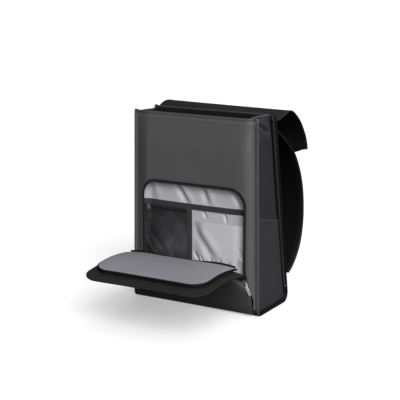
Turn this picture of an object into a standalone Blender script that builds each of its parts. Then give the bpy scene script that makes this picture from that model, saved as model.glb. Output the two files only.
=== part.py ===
# Business backpack, standing on its base with the main lid thrown back and the front pocket let down.
# Metres, +Z up. The front faces -Y, and the origin is at the middle of the base.

import math

import bmesh
import bpy
from mathutils import Vector

# Body
BODY_HEIGHT = 0.410
TOP_WIDTH = 0.294
BASE_WIDTH = 0.306
TOP_DEPTH = 0.0815
BASE_DEPTH = 0.1375
FRONT_ROLL = 0.012
FRONT_LIP = 0.004
BACK_ROLL = 0.020
BACK_LIP = 0.012
FRONT_BULGE = 0.011
TOP_HEM_BULGE = 0.006
CLOTH = 0.002
LINING = 0.0015
BACK_PAD = 0.010
GAP = 0.0003

# Side gussets, side pockets and piping
FLANGE = 0.006
PINCH_DEPTH = 0.014
PINCH_HEIGHT = 0.052
SIDE_POCKET_FRONT_HEIGHT = 0.207
SIDE_POCKET_BACK_HEIGHT = 0.185
SIDE_POCKET_SWELL = 0.0015
PIPING = 0.0038

# Front pocket opening
OPENING_BORDER = 0.01873
OPENING_TOP = 0.268
OPENING_CORNER = 0.038
ZIP_TAPE = 0.0045
ZIP_SEAM = 0.0014
LINING_MARGIN = 0.008
LINING_DEPTH = 0.011

# Organiser inside the front pocket
BAND_HEIGHT = 0.2095
BAND_WIDTH = 0.012
MESH_TOP = 0.2005
MESH_SWELL = 0.006
MESH_ZIP_WIDTH = 0.007
BINDING_PLACE = -0.0124
BINDING_WIDTH = 0.0125
SLIP_TOP = 0.188
SLIP_SWELL = 0.007
ORGANISER_FOOT = 0.030

# Front pocket flap
FLAP_INSET = 0.006
FLAP_TUCK = 0.009
FLAP_REACH = 0.222
FLAP_HEIGHT = 0.113
FLAP_CORNER = 0.040
FLAP_LINING_INSET = 0.020
FLAP_LINING_CORNER = 0.034
FLAP_MARGIN = 0.033
FLAP_FILL = 0.0100
FLAP_LINING_BACK = 0.052
FLAP_BAND_START = 0.014
FLAP_SEAM_HEIGHT = 0.049

# Main lid
LID_INSET = 0.002
LID_REACH = 0.152
LID_DROP = 0.090
LID_THICKNESS = 0.003
LID_SEAM_DROP = 0.013

# Shoulder straps and their webbing
STRAP_WIDTH = 0.062
STRAP_INSET = 0.048
STRAP_THICKNESS = 0.010
STRAP_DROP = 0.036
STRAP_REACH = 0.1235
STRAP_FOOT = 0.043
STRAP_ROUNDING = 0.003
WEBBING_WIDTH = 0.025
WEBBING_THICKNESS = 0.0018
WEBBING_SEAM_HEIGHT = 0.034
ADJUSTER_WIDTH = 0.032
ADJUSTER_LENGTH = 0.022
ADJUSTER_THICKNESS = 0.0045
ADJUSTER_ROUNDING = 0.0008

# Zip sliders and pullers
SLIDER_LENGTH = 0.0100
SLIDER_WIDTH = 0.0065
SLIDER_THICKNESS = 0.0026
SLIDER_ROUNDING = 0.0008
BRIDGE_WIRE = 0.0012
BRIDGE_RISE = 0.0032
PULLER_LENGTH = 0.026
PULLER_WIDTH = 0.0044
PULLER_THICKNESS = 0.0012
MESH_SLIDER_INSET = 0.01425
MESH_PULLER_TILT = math.radians(-15)
FRONT_SLIDER_HEIGHT = 0.0725
FRONT_PULLER_TILT = math.radians(-24)

FRONT = -BASE_DEPTH / 2
BACK = BASE_DEPTH / 2
FLAP_WIDTH = BASE_WIDTH - 2 * FLAP_INSET
FLAP_LINING_WIDTH = FLAP_WIDTH - 2 * FLAP_LINING_INSET
LID_WIDTH = TOP_WIDTH - 2 * LID_INSET
LID_SEAM_HEIGHT = BODY_HEIGHT - LID_SEAM_DROP
STRAP_PLACE = TOP_WIDTH / 2 - STRAP_INSET
STRAP_TOP = BODY_HEIGHT - STRAP_DROP
BACK_LEAN = math.atan2(BASE_DEPTH - TOP_DEPTH, BODY_HEIGHT - BACK_ROLL)

# Front pocket flap from the seam at its foot to its tip: forward and up, at the middle and at the
# edge, as shares of FLAP_REACH and FLAP_HEIGHT, and the half width as a share of FLAP_WIDTH / 2
FLAP_ROWS = (
    # middle forward, middle up, edge forward, edge up, width
    (0.012, 0.045, 0.000, 0.045, 0.956),
    (0.055, 0.190, 0.000, 0.160, 0.950),
    (0.100, 0.380, 0.000, 0.300, 0.942),
    (0.150, 0.560, 0.000, 0.430, 0.925),
    (0.190, 0.730, 0.000, 0.550, 0.875),
    (0.218, 0.870, 0.005, 0.670, 0.835),
    (0.255, 0.955, 0.085, 0.770, 0.915),
    (0.315, 0.990, 0.210, 0.870, 0.985),
    (0.410, 1.000, 0.370, 0.925, 1.000),
    (0.540, 0.990, 0.530, 0.955, 1.000),
    (0.680, 0.965, 0.680, 0.945, 1.000),
    (0.820, 0.930, 0.820, 0.915, 1.000),
    (1.000, 0.870, 1.000, 0.865, 1.000),
)

# Main lid from its seam to its free edge: back as a share of LID_REACH, and height below the top
# of the body as shares of LID_DROP, at its left and right side edges. The lid lies a little higher
# on its left. The last row is reached only by the tongue in the middle.
LID_ROWS = (
    # back, down at the left, down at the right
    (0.000, 0.130, 0.130),
    (0.100, 0.045, 0.125),
    (0.180, -0.020, 0.090),
    (0.260, -0.050, 0.055),
    (0.340, -0.054, 0.020),
    (0.420, -0.030, 0.000),
    (0.550, 0.065, 0.070),
    (0.740, 0.290, 0.305),
    (0.900, 0.630, 0.638),
    (0.965, 0.840, 0.850),
    (1.000, 1.030, 1.030),
    (1.040, 1.170, 1.170),
)
LID_TONGUE_SHARE = 0.35

# Shoulder strap's outer face from its seam to its foot: height as a share from STRAP_FOOT up to
# STRAP_TOP, and back as a share from the seam on the back panel to STRAP_REACH behind the base
STRAP_ROWS = (
    # height, back
    (1.000, 0.000),
    (1.003, 0.120),
    (0.985, 0.246),
    (0.915, 0.459),
    (0.810, 0.707),
    (0.671, 0.879),
    (0.535, 0.971),
    (0.375, 1.000),
    (0.250, 0.970),
    (0.154, 0.900),
    (0.078, 0.790),
    (0.024, 0.670),
    (0.000, 0.580),
)


def clear_scene():
    for item in list(bpy.data.objects):
        bpy.data.objects.remove(item, do_unlink=True)
    for mesh in list(bpy.data.meshes):
        bpy.data.meshes.remove(mesh)


def new_collection(name):
    group = bpy.data.collections.new(name)
    bpy.context.scene.collection.children.link(group)
    return group


def new_finish(name, colour, roughness, metallic=0.0):
    finish = bpy.data.materials.new(name)
    finish.use_nodes = True
    shader = finish.node_tree.nodes["Principled BSDF"]
    shader.inputs["Base Color"].default_value = (*colour, 1.0)
    shader.inputs["Roughness"].default_value = roughness
    shader.inputs["Metallic"].default_value = metallic
    return finish


def mix(low, high, share):
    return low + (high - low) * share


def ease(share):
    share = min(max(share, 0.0), 1.0)
    return share * share * (3.0 - 2.0 * share)


def read_row(rows, place):
    """Values of a table at a fractional row, on a smooth curve through its rows."""
    place = min(max(place, 0.0), len(rows) - 1.0)
    low = min(int(place), len(rows) - 2)
    share = place - low
    values = []
    for column in range(len(rows[0])):
        before = rows[max(low - 1, 0)][column]
        start = rows[low][column]
        end = rows[low + 1][column]
        after = rows[min(low + 2, len(rows) - 1)][column]
        start_slope = (end - before) / 2
        end_slope = (after - start) / 2
        square = share * share
        cube = square * share
        values.append(
            (2 * cube - 3 * square + 1) * start
            + (cube - 2 * square + share) * start_slope
            + (3 * square - 2 * cube) * end
            + (cube - square) * end_slope
        )
    return values


def add_object(name, mesh, finish):
    item = bpy.data.objects.new(name, mesh)
    item.data.materials.append(finish)
    backpack.objects.link(item)
    return item


def add_sheet(name, finish, columns, rows, place, thickness, rounded=0.0):
    """A sheet of cloth: a grid laid out by place(u, v), with its thickness behind that face."""
    shape = bmesh.new()
    bmesh.ops.create_grid(shape, x_segments=columns, y_segments=rows, size=0.5)
    for corner in shape.verts:
        corner.co = place(corner.co.x + 0.5, corner.co.y + 0.5)
    mesh = bpy.data.meshes.new(name)
    shape.to_mesh(mesh)
    shape.free()
    mesh.shade_smooth()
    item = add_object(name, mesh, finish)
    solid = item.modifiers.new("thickness", "SOLIDIFY")
    solid.thickness = thickness
    solid.offset = -1.0
    solid.use_even_offset = True
    if rounded:
        edge = item.modifiers.new("rounded edge", "BEVEL")
        edge.width = rounded
        edge.segments = 2
        edge.limit_method = "ANGLE"
        edge.angle_limit = math.radians(50)
    return item


def add_tube(name, finish, points, radius):
    """A round bead of piping along a list of points."""
    curve = bpy.data.curves.new(name, "CURVE")
    curve.dimensions = "3D"
    curve.bevel_depth = radius
    curve.bevel_resolution = 1
    curve.use_fill_caps = True
    line = curve.splines.new("POLY")
    line.points.add(len(points) - 1)
    for spot, point in zip(line.points, points):
        spot.co = (*point, 1.0)
    item = bpy.data.objects.new(name, curve)
    item.data.materials.append(finish)
    backpack.objects.link(item)
    return item


# Body
PANEL_FIRMNESS = 16
LINING_FIRMNESS = 4


def half_width(height):
    """Half width of the front, base and back panels, inside the piping."""
    return mix(BASE_WIDTH, TOP_WIDTH, height / BODY_HEIGHT) / 2 - PIPING - GAP


def back_face(height):
    """Outer face of the back: upright in the roll, then leaning forward to the top."""
    share = max(height - BACK_ROLL, 0.0) / (BODY_HEIGHT - BACK_ROLL)
    return mix(BACK, FRONT + TOP_DEPTH, share)


def front_bulge(x, height, firmness=PANEL_FIRMNESS):
    """How far the front panel stands forward of its flanges."""
    share = abs(x) / (half_width(height) - FLANGE - CLOTH)
    if share >= 1.0:
        return 0.0
    bulge = mix(TOP_HEM_BULGE, FRONT_BULGE, ease((BODY_HEIGHT - height) / OPENING_CORNER))
    return bulge * (1.0 - share ** firmness)


def arc_points(centre, radius, start, end, steps):
    """Points (y, z) on an arc, with its angles in degrees."""
    points = []
    for step in range(steps + 1):
        angle = math.radians(mix(start, end, step / steps))
        points.append((centre[0] + radius * math.cos(angle), centre[1] + radius * math.sin(angle)))
    return points


def shell_profile(inset):
    """Outline (y, z) of the rolled base from its back lip to its front lip, moved in by inset."""
    back_centre = (BACK - BACK_ROLL, BACK_ROLL)
    front_centre = (FRONT + FRONT_ROLL, FRONT_ROLL)
    lip = BACK_ROLL + BACK_LIP
    points = [(back_face(lip) - inset, lip)]
    points += arc_points(back_centre, BACK_ROLL - inset, 0, -90, 5)
    points += arc_points(front_centre, FRONT_ROLL - inset, -90, -180, 4)
    points.append((FRONT + inset, FRONT_ROLL + FRONT_LIP))
    return points


def build_base_panel():
    profile = shell_profile(0.0)
    rows = len(profile) - 1

    def place(u, v):
        y, z = profile[round(v * rows)]
        return Vector((mix(-1, 1, u) * half_width(z), y, z))

    add_sheet("base_panel", shell_finish, 6, rows, place, CLOTH)


BACK_PANEL_FOOT = BACK_ROLL + BACK_LIP + 2 * GAP


def build_back_panel():
    def place(u, v):
        height = mix(BODY_HEIGHT, BACK_PANEL_FOOT, v)
        x = mix(-1, 1, u) * half_width(height)
        return Vector((x, back_face(height), height))

    add_sheet("back_panel", shell_finish, 6, 8, place, BACK_PAD)


# Front panel: an arch round the pocket opening. Both outlines run from the foot of the left side,
# over the top and down the right side, with side, corner and top stretches in these shares.
SIDE_STRETCH = 0.5
CORNER_STRETCH = 0.2
ARCH_COLUMNS = 40
PANEL_FOOT = FRONT_ROLL + FRONT_LIP + GAP
OPENING_WIDTH = 2 * (half_width(OPENING_TOP) - OPENING_BORDER)
FLARE_TOP = FLAP_HEIGHT * 0.85
FLARE_STEEPNESS = 1.6


def opening_half_width(height):
    """The opening widens towards its foot, where the flap's side seams start."""
    foot_half_width = FLAP_WIDTH / 2 * FLAP_ROWS[0][4]
    flare = max(0.0, 1.0 - height / FLARE_TOP)
    return mix(OPENING_WIDTH / 2, foot_half_width, min(1.0, FLARE_STEEPNESS * flare))


def opening_outline(u):
    side = -1 if u <= 0.5 else 1
    share = 2 * u if u <= 0.5 else 2 * (1 - u)
    centre = Vector((OPENING_WIDTH / 2 - OPENING_CORNER, OPENING_TOP - OPENING_CORNER))
    if share < SIDE_STRETCH:
        height = mix(PANEL_FOOT, centre.y, share / SIDE_STRETCH)
        return Vector((side * opening_half_width(height), height))
    share -= SIDE_STRETCH
    if share < CORNER_STRETCH:
        angle = math.radians(90) * share / CORNER_STRETCH
        return Vector((
            side * (centre.x + OPENING_CORNER * math.cos(angle)),
            centre.y + OPENING_CORNER * math.sin(angle),
        ))
    share = (share - CORNER_STRETCH) / (1 - SIDE_STRETCH - CORNER_STRETCH)
    return Vector((side * mix(centre.x, 0.0, share), OPENING_TOP))


def panel_outline(u):
    side = -1 if u <= 0.5 else 1
    share = 2 * u if u <= 0.5 else 2 * (1 - u)
    corner = SIDE_STRETCH + CORNER_STRETCH / 2
    if share <= corner:
        height = mix(PANEL_FOOT, BODY_HEIGHT, share / corner)
        return Vector((side * half_width(height), height))
    share = (share - corner) / (1 - corner)
    return Vector((side * mix(half_width(BODY_HEIGHT), 0.0, share), BODY_HEIGHT))


def opening_inset(u, inset):
    """A point inside the opening, at a distance from its edge."""
    step = 0.25 / ARCH_COLUMNS
    along = opening_outline(min(u + step, 1.0)) - opening_outline(max(u - step, 0.0))
    along.normalize()
    return opening_outline(u) + Vector((along.y, -along.x)) * inset


def build_front_panel():
    def place(u, v):
        spot = opening_outline(u).lerp(panel_outline(u), v)
        return Vector((spot.x, FRONT - front_bulge(spot.x, spot.y), spot.y))

    add_sheet("front_panel", front_finish, ARCH_COLUMNS, 5, place, CLOTH)


def build_opening_zip_tape():
    straight = OPENING_TOP - OPENING_CORNER - PANEL_FOOT
    foot_share = SIDE_STRETCH / 2 * (FLAP_SEAM_HEIGHT - PANEL_FOOT) / straight
    first = math.ceil(foot_share * ARCH_COLUMNS)
    start = first / ARCH_COLUMNS

    def place(u, v):
        spot = opening_inset(mix(start, 1 - start, u), mix(ZIP_SEAM + ZIP_TAPE, ZIP_SEAM, v))
        return Vector((spot.x, FRONT - front_bulge(spot.x, spot.y) + GAP, spot.y))

    add_sheet("opening_zip_tape", band_finish, ARCH_COLUMNS - 2 * first, 1, place, LINING)


# Inside of the front pocket: its back wall slopes back from its seams, then hangs level.
# A sheet swells over the first and last quarter of its width, and over a fifth above its foot, and
# its mouth begins at a share of its height.
SEAM_HALF_WIDTH = OPENING_WIDTH / 2 + LINING_MARGIN
SEAM_TOP = OPENING_TOP + LINING_MARGIN
LINING_SLOPE = 0.030
SWELL_SIDE = 4
SWELL_FOOT = 5
MOUTH_START = 2 / 3


def lining_face(x, height):
    """Front face of the pocket's back wall: against the panel at its seams, deeper between them."""
    across = min(max(SEAM_HALF_WIDTH - abs(x), 0.0) / LINING_SLOPE, 1.0)
    upward = min(max(SEAM_TOP - height, 0.0) / LINING_SLOPE, 1.0)
    slack = front_bulge(x, height, LINING_FIRMNESS)
    return FRONT - slack + CLOTH + GAP + LINING_DEPTH * across * upward


def sloped(share, start, end, slope_start, slope_end, edge):
    """Grid lines from start to end, with the first or last ones in the slopes at its seams."""
    if share < edge * slope_start:
        return start + LINING_SLOPE * share / edge
    if share > 1 - edge * slope_end:
        return end - LINING_SLOPE * (1 - share) / edge
    low = start + LINING_SLOPE * slope_start
    high = end - LINING_SLOPE * slope_end
    first = edge * slope_start
    last = 1 - edge * slope_end
    return mix(low, high, (share - first) / (last - first))


def build_pocket_lining():
    columns = 14
    rows = 10

    def place(u, v):
        x = sloped(u, -SEAM_HALF_WIDTH, SEAM_HALF_WIDTH, 1, 1, 2 / columns)
        height = sloped(v, PANEL_FOOT, SEAM_TOP, 0, 1, 2 / rows)
        return Vector((x, lining_face(x, height), height))

    add_sheet("pocket_lining", lining_finish, columns, rows, place, LINING)


def add_organiser_sheet(name, finish, span, foot, top, stand, swell, mouth, grid, thickness):
    """A sheet in front of the pocket lining. It swells between its edges, and by mouth at its top."""
    def place(u, v):
        x = mix(span[0], span[1], u)
        height = mix(foot, top, v)
        belly = ease(SWELL_SIDE * u) * ease(SWELL_SIDE * (1 - u)) * ease(SWELL_FOOT * v)
        belly *= mix(1.0, mouth, ease((v - MOUTH_START) / (1 - MOUTH_START)))
        return Vector((x, lining_face(x, height) - stand - swell * belly, height))

    add_sheet(name, finish, grid[0], grid[1], place, thickness)


def build_organiser():
    edge = OPENING_WIDTH / 2 - GAP
    binding_left = BINDING_PLACE - BINDING_WIDTH / 2
    binding_right = BINDING_PLACE + BINDING_WIDTH / 2
    thin = LINING / 2
    seat = thin + GAP
    left_span = (-edge, binding_left - GAP)
    right_span = (binding_right + GAP, edge)
    add_organiser_sheet("elastic_band", band_finish, (-edge, edge), BAND_HEIGHT,
                        BAND_HEIGHT + BAND_WIDTH, LINING + GAP, 0.0, 0.0, (14, 1), LINING)
    add_organiser_sheet("mesh_zip_tape", band_finish, left_span, MESH_TOP + GAP,
                        MESH_TOP + GAP + MESH_ZIP_WIDTH, LINING + GAP, 0.0, 0.0, (8, 1), LINING)
    add_organiser_sheet("mesh_pocket", mesh_finish, left_span, ORGANISER_FOOT,
                        MESH_TOP, seat, MESH_SWELL, 0.0, (8, 8), thin)
    add_organiser_sheet("mesh_binding", band_finish, (binding_left, binding_right), ORGANISER_FOOT,
                        BAND_HEIGHT - GAP, LINING + GAP, 0.0, 0.0, (2, 7), LINING)
    add_organiser_sheet("slip_pocket", lining_finish, right_span, ORGANISER_FOOT,
                        SLIP_TOP, seat, SLIP_SWELL, 1.0, (10, 8), thin)


# Front pocket flap. It is level across its middle and curls to its edges by a power of the width,
# and its left side is drawn in.
FLAP_CURL = 3
FLAP_RISE_CURL = 4.8
FLAP_SEAM_EASE = 5
FLAP_CREST = 0.35
FLAP_TUCK_START = 0.25
FLAP_TUCK_END = 0.75
FLAP_SEARCH_STEPS = 20


def flap_section(v):
    """Middle and edge of the flap (forward, up) and its half width, at v along it."""
    last = len(FLAP_ROWS) - 2
    bend = v * (last + 2)
    if bend <= last:
        middle_out, middle_up, edge_out, edge_up, width = read_row(FLAP_ROWS, bend)
        return middle_out, middle_up, edge_out, edge_up, FLAP_WIDTH / 2 * width
    turn = math.radians(90) * (bend - last) / 2
    straight = 1.0 - FLAP_CORNER / FLAP_REACH
    share = math.sin(turn)
    start = FLAP_ROWS[last]
    end = FLAP_ROWS[last + 1]
    reach = mix(straight, 1.0, share)
    half = FLAP_WIDTH / 2 - FLAP_CORNER * (1.0 - math.cos(turn))
    return reach, mix(start[1], end[1], share), reach, mix(start[3], end[3], share), half


def flap_spot(u, v):
    """Outer face of the flap at u across it and v along it."""
    middle_out, middle_up, edge_out, edge_up, half = flap_section(v)
    seam = front_bulge(half, edge_up * FLAP_HEIGHT) + CLOTH + 2 * GAP
    edge_forward = edge_out * FLAP_REACH + seam * (1.0 - ease(FLAP_SEAM_EASE * edge_out))
    across = mix(-1, 1, u)
    forward = mix(middle_out * FLAP_REACH, edge_forward, abs(across) ** FLAP_CURL)
    up = mix(middle_up, edge_up, abs(across) ** FLAP_RISE_CURL)
    free = (middle_out - FLAP_TUCK_START) / (FLAP_TUCK_END - FLAP_TUCK_START)
    tuck = FLAP_TUCK * ease(free) * max(-across, 0.0) ** 2
    return Vector((across * half + tuck, FRONT - forward, up * FLAP_HEIGHT))


def flap_height(x, forward):
    """Height of the flap's outer face above a spot past its crest, forward of the body."""
    low = FLAP_CREST
    high = 1.0
    spot = flap_spot(0.5, low)
    for step in range(FLAP_SEARCH_STEPS):
        middle = (low + high) / 2
        half = flap_section(middle)[4]
        u = 0.5 + 0.5 * max(-1.0, min(1.0, x / half))
        spot = flap_spot(u, middle)
        if FRONT - spot.y < forward:
            low = middle
        else:
            high = middle
    return spot.z


def build_pocket_flap():
    add_sheet("pocket_flap", front_finish, 16, 22, flap_spot, CLOTH)


FLAP_CORNER_START = 0.4
FLAP_CORNER_END = 0.7


def flap_lining_outline(u, inset, back):
    """Outline (x, forward) of the flap's lining from back: left side, front and right side."""
    half = FLAP_LINING_WIDTH / 2 - inset
    corner = FLAP_LINING_CORNER - inset
    front = FLAP_REACH - FLAP_MARGIN - inset
    side = -1 if u <= 0.5 else 1
    share = 2 * u if u <= 0.5 else 2 * (1 - u)
    if share < FLAP_CORNER_START:
        return Vector((side * half, mix(back, front - corner, share / FLAP_CORNER_START)))
    if share <= FLAP_CORNER_END:
        turn = (share - FLAP_CORNER_START) / (FLAP_CORNER_END - FLAP_CORNER_START)
        angle = math.radians(90) * turn
        return Vector((
            side * (half - corner * (1 - math.cos(angle))),
            front - corner * (1 - math.sin(angle)),
        ))
    share = (share - FLAP_CORNER_END) / (1 - FLAP_CORNER_END)
    return Vector((side * mix(half - corner, 0.0, share), front))


def build_flap_lining():
    def place(u, v):
        edge = flap_lining_outline(FLAP_CORNER_END / 2 * (1 - v), 0.0, FLAP_LINING_BACK)
        x = mix(-1, 1, u) * abs(edge.x)
        return Vector((x, FRONT - edge.y, flap_height(x, edge.y) + FLAP_FILL))

    add_sheet("flap_lining", flap_lining_finish, 12, 12, place, LINING)


def build_flap_zip_band():
    def place(u, v):
        spot = flap_lining_outline(u, GAP, FLAP_LINING_BACK + FLAP_BAND_START)
        shell = flap_height(spot.x, spot.y)
        low = shell + CLOTH + 3 * GAP
        high = shell + FLAP_FILL - LINING - 2 * GAP
        return Vector((spot.x, FRONT - spot.y, mix(low, high, v)))

    add_sheet("flap_zip_band", band_finish, 32, 1, place, LINING)


# Sides. The pinch at the top of a gusset is deepest halfway back, and runs out to the corners.
PINCH_AT_FRONT = 0.55
PINCH_AT_BACK = 0.10


def gusset_inset(height, share):
    """How far the outer face of a side gusset lies inside the flange's edge, from front to back."""
    rise = ease((height - (BODY_HEIGHT - PINCH_HEIGHT)) / PINCH_HEIGHT)
    if share < 0.5:
        fold = mix(PINCH_AT_FRONT, 1.0, ease(2 * share))
    else:
        fold = mix(1.0, PINCH_AT_BACK, ease(2 * share - 1))
    return FLANGE + PINCH_DEPTH * rise * fold


# The back pad's inner foot, and the gusset's step from the rolled base to the pad
PAD_FOOT = BACK_PANEL_FOOT - BACK_PAD * math.sin(BACK_LEAN)
PAD_STEP_LOW = PAD_FOOT - 2 * CLOTH
PAD_STEP_HIGH = PAD_FOOT - CLOTH / 2


def gusset_span(height, inset):
    """Front and back limits (y) of a side piece between the panels."""
    front = FRONT + CLOTH + inset
    back = back_face(height) - CLOTH - inset
    if height >= PAD_STEP_HIGH:
        back = back_face(height) - BACK_PAD / math.cos(BACK_LEAN) - inset
    if height < FRONT_ROLL:
        radius = FRONT_ROLL - CLOTH - inset
        drop = min(FRONT_ROLL - height, radius)
        front = FRONT + FRONT_ROLL - math.sqrt(radius * radius - drop * drop)
    if height < BACK_ROLL:
        radius = BACK_ROLL - CLOTH - inset
        drop = min(BACK_ROLL - height, radius)
        back = BACK - BACK_ROLL + math.sqrt(radius * radius - drop * drop)
    return front, back


# Rows from the foot of a side piece up to FRONT_ROLL, and of a side pocket above its foot, as shares
ROLL_ROWS = (0.0, 0.15, 0.5, 1.0)
POCKET_ROWS = (0.2, 0.4, 0.6, 0.8, 1.0)


def foot_heights():
    """Rows of a side piece round the rolled base, up to the foot of the back pad."""
    low = CLOTH + 2 * GAP
    rows = [mix(low, FRONT_ROLL, share) for share in ROLL_ROWS]
    return rows + [BACK_ROLL, PAD_STEP_LOW, PAD_STEP_HIGH]


def build_side(side, word):
    pinch_foot = BODY_HEIGHT - PINCH_HEIGHT
    gusset_rows = foot_heights() + [mix(PAD_STEP_HIGH, pinch_foot, step / 4) for step in range(1, 5)]
    gusset_rows += [mix(pinch_foot, BODY_HEIGHT, step / 4) for step in range(1, 5)]

    def gusset(u, v):
        height = gusset_rows[round(v * (len(gusset_rows) - 1))]
        share = u if side > 0 else 1 - u
        front, back = gusset_span(height, 2 * GAP)
        x = half_width(height) - gusset_inset(height, share)
        return Vector((side * x, mix(front, back, share), height))

    add_sheet("side_gusset_" + word, gusset_finish, 8, len(gusset_rows) - 1, gusset, CLOTH)

    pocket_rows = foot_heights() + list(POCKET_ROWS)
    first_share = len(foot_heights())

    def pocket(u, v):
        row = round(v * (len(pocket_rows) - 1))
        share = u if side > 0 else 1 - u
        height = pocket_rows[row]
        if row >= first_share:
            top = mix(SIDE_POCKET_FRONT_HEIGHT, SIDE_POCKET_BACK_HEIGHT, share)
            height = mix(PAD_STEP_HIGH, top, pocket_rows[row])
        front, back = gusset_span(height, 2 * GAP)
        swell = SIDE_POCKET_SWELL * ease(SWELL_SIDE * share) * ease(SWELL_SIDE * (1 - share))
        swell *= ease(SWELL_FOOT * v)
        x = half_width(height) - FLANGE + GAP + CLOTH + swell
        return Vector((side * x, mix(front, back, share), height))

    add_sheet("side_pocket_" + word, side_finish, 6, len(pocket_rows) - 1, pocket, CLOTH)


def build_piping(side, word):
    radius = PIPING / 2
    line = []
    for step in range(8):
        line.append((FRONT + radius, mix(BODY_HEIGHT - radius, FRONT_ROLL, step / 7)))
    line += arc_points((FRONT + FRONT_ROLL, FRONT_ROLL), FRONT_ROLL - radius, 195, 270, 4)
    line += arc_points((BACK - BACK_ROLL, BACK_ROLL), BACK_ROLL - radius, 270, 360, 5)
    for step in range(1, 8):
        height = mix(BACK_ROLL, BODY_HEIGHT - radius, step / 7)
        line.append((back_face(height) - radius, height))
    points = []
    for y, z in line:
        points.append((side * (half_width(z) + GAP + radius), y, z))
    add_tube("edge_piping_" + word, piping_finish, points, radius)


# Main lid
def build_main_lid():
    seam = back_face(LID_SEAM_HEIGHT) + GAP

    def place(u, v):
        across = mix(-1, 1, u)
        tongue = ease((1 - abs(across)) / LID_TONGUE_SHARE)
        back, down_left, down_right = read_row(LID_ROWS, v * (len(LID_ROWS) - 2 + tongue))
        height = BODY_HEIGHT - mix(down_left, down_right, u) * LID_DROP
        return Vector((across * LID_WIDTH / 2, seam + back * LID_REACH, height))

    add_sheet("main_lid", lid_finish, 12, 15, place, LID_THICKNESS)


# Shoulder straps. The adjuster lies along the strap's last stretch, and its webbing sags by a share
# of its length.
STRAP_LAST_STRETCH = 0.96
WEBBING_SAG = 0.06


def strap_spot(v):
    """Outer face (y, z) of a shoulder strap along its length."""
    height, back = read_row(STRAP_ROWS, v * (len(STRAP_ROWS) - 1))
    seam = back_face(STRAP_TOP - STRAP_THICKNESS) + GAP
    return mix(seam, BACK + STRAP_REACH, back), mix(STRAP_FOOT, STRAP_TOP, height)


def build_strap(side, word):
    def strap(u, v):
        y, z = strap_spot(v)
        x = side * STRAP_PLACE + mix(-0.5, 0.5, u) * STRAP_WIDTH
        return Vector((x, y, z))

    add_sheet("shoulder_strap_" + word, strap_finish, 2, 18, strap, STRAP_THICKNESS, STRAP_ROUNDING)

    foot_y, foot_z = strap_spot(1.0)
    before_y, before_z = strap_spot(STRAP_LAST_STRETCH)
    along = Vector((foot_y - before_y, foot_z - before_z)).normalized()
    inward = Vector((along.y, -along.x))
    middle = Vector((foot_y, foot_z)) + inward * (STRAP_THICKNESS / 2)
    frame_start = middle + along * GAP
    frame_end = frame_start + along * ADJUSTER_LENGTH

    def adjuster(u, v):
        spot = frame_start.lerp(frame_end, v) - inward * (ADJUSTER_THICKNESS / 2)
        x = side * STRAP_PLACE + mix(-0.5, 0.5, u) * ADJUSTER_WIDTH
        return Vector((x, spot.x, spot.y))

    add_sheet("strap_adjuster_" + word, buckle_finish, 2, 2, adjuster, ADJUSTER_THICKNESS,
              ADJUSTER_ROUNDING)

    seam = Vector((back_face(WEBBING_SEAM_HEIGHT) + GAP, WEBBING_SEAM_HEIGHT))
    start = frame_end + along * (ADJUSTER_THICKNESS / 4)

    def webbing(u, v):
        spot = start.lerp(seam, v)
        sag = math.sin(math.pi * v) * WEBBING_SAG * (start - seam).length
        x = side * STRAP_PLACE + mix(-0.5, 0.5, u) * WEBBING_WIDTH
        return Vector((x, spot.x, spot.y - sag))

    add_sheet("strap_webbing_" + word, webbing_finish, 1, 8, webbing, WEBBING_THICKNESS)


# Zip sliders and pullers: the puller's cross bar turns in the slider's bridge, about X
def add_block(name, finish, size, centre, rounded):
    shape = bmesh.new()
    bmesh.ops.create_cube(shape, size=1.0)
    for corner in shape.verts:
        corner.co = Vector((corner.co.x * size[0], corner.co.y * size[1], corner.co.z * size[2]))
    mesh = bpy.data.meshes.new(name)
    shape.to_mesh(mesh)
    shape.free()
    item = bpy.data.objects.new(name, mesh)
    item.data.materials.append(finish)
    item.location = centre
    if rounded:
        edge = item.modifiers.new("rounded edge", "BEVEL")
        edge.width = rounded
        edge.segments = 2
    return item


def combine(item, tool, operation):
    tool.hide_render = True
    tool.display_type = "WIRE"
    cutters.objects.link(tool)
    joint = item.modifiers.new(operation.lower(), "BOOLEAN")
    joint.operation = operation
    joint.object = tool
    joint.solver = "EXACT"


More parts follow.
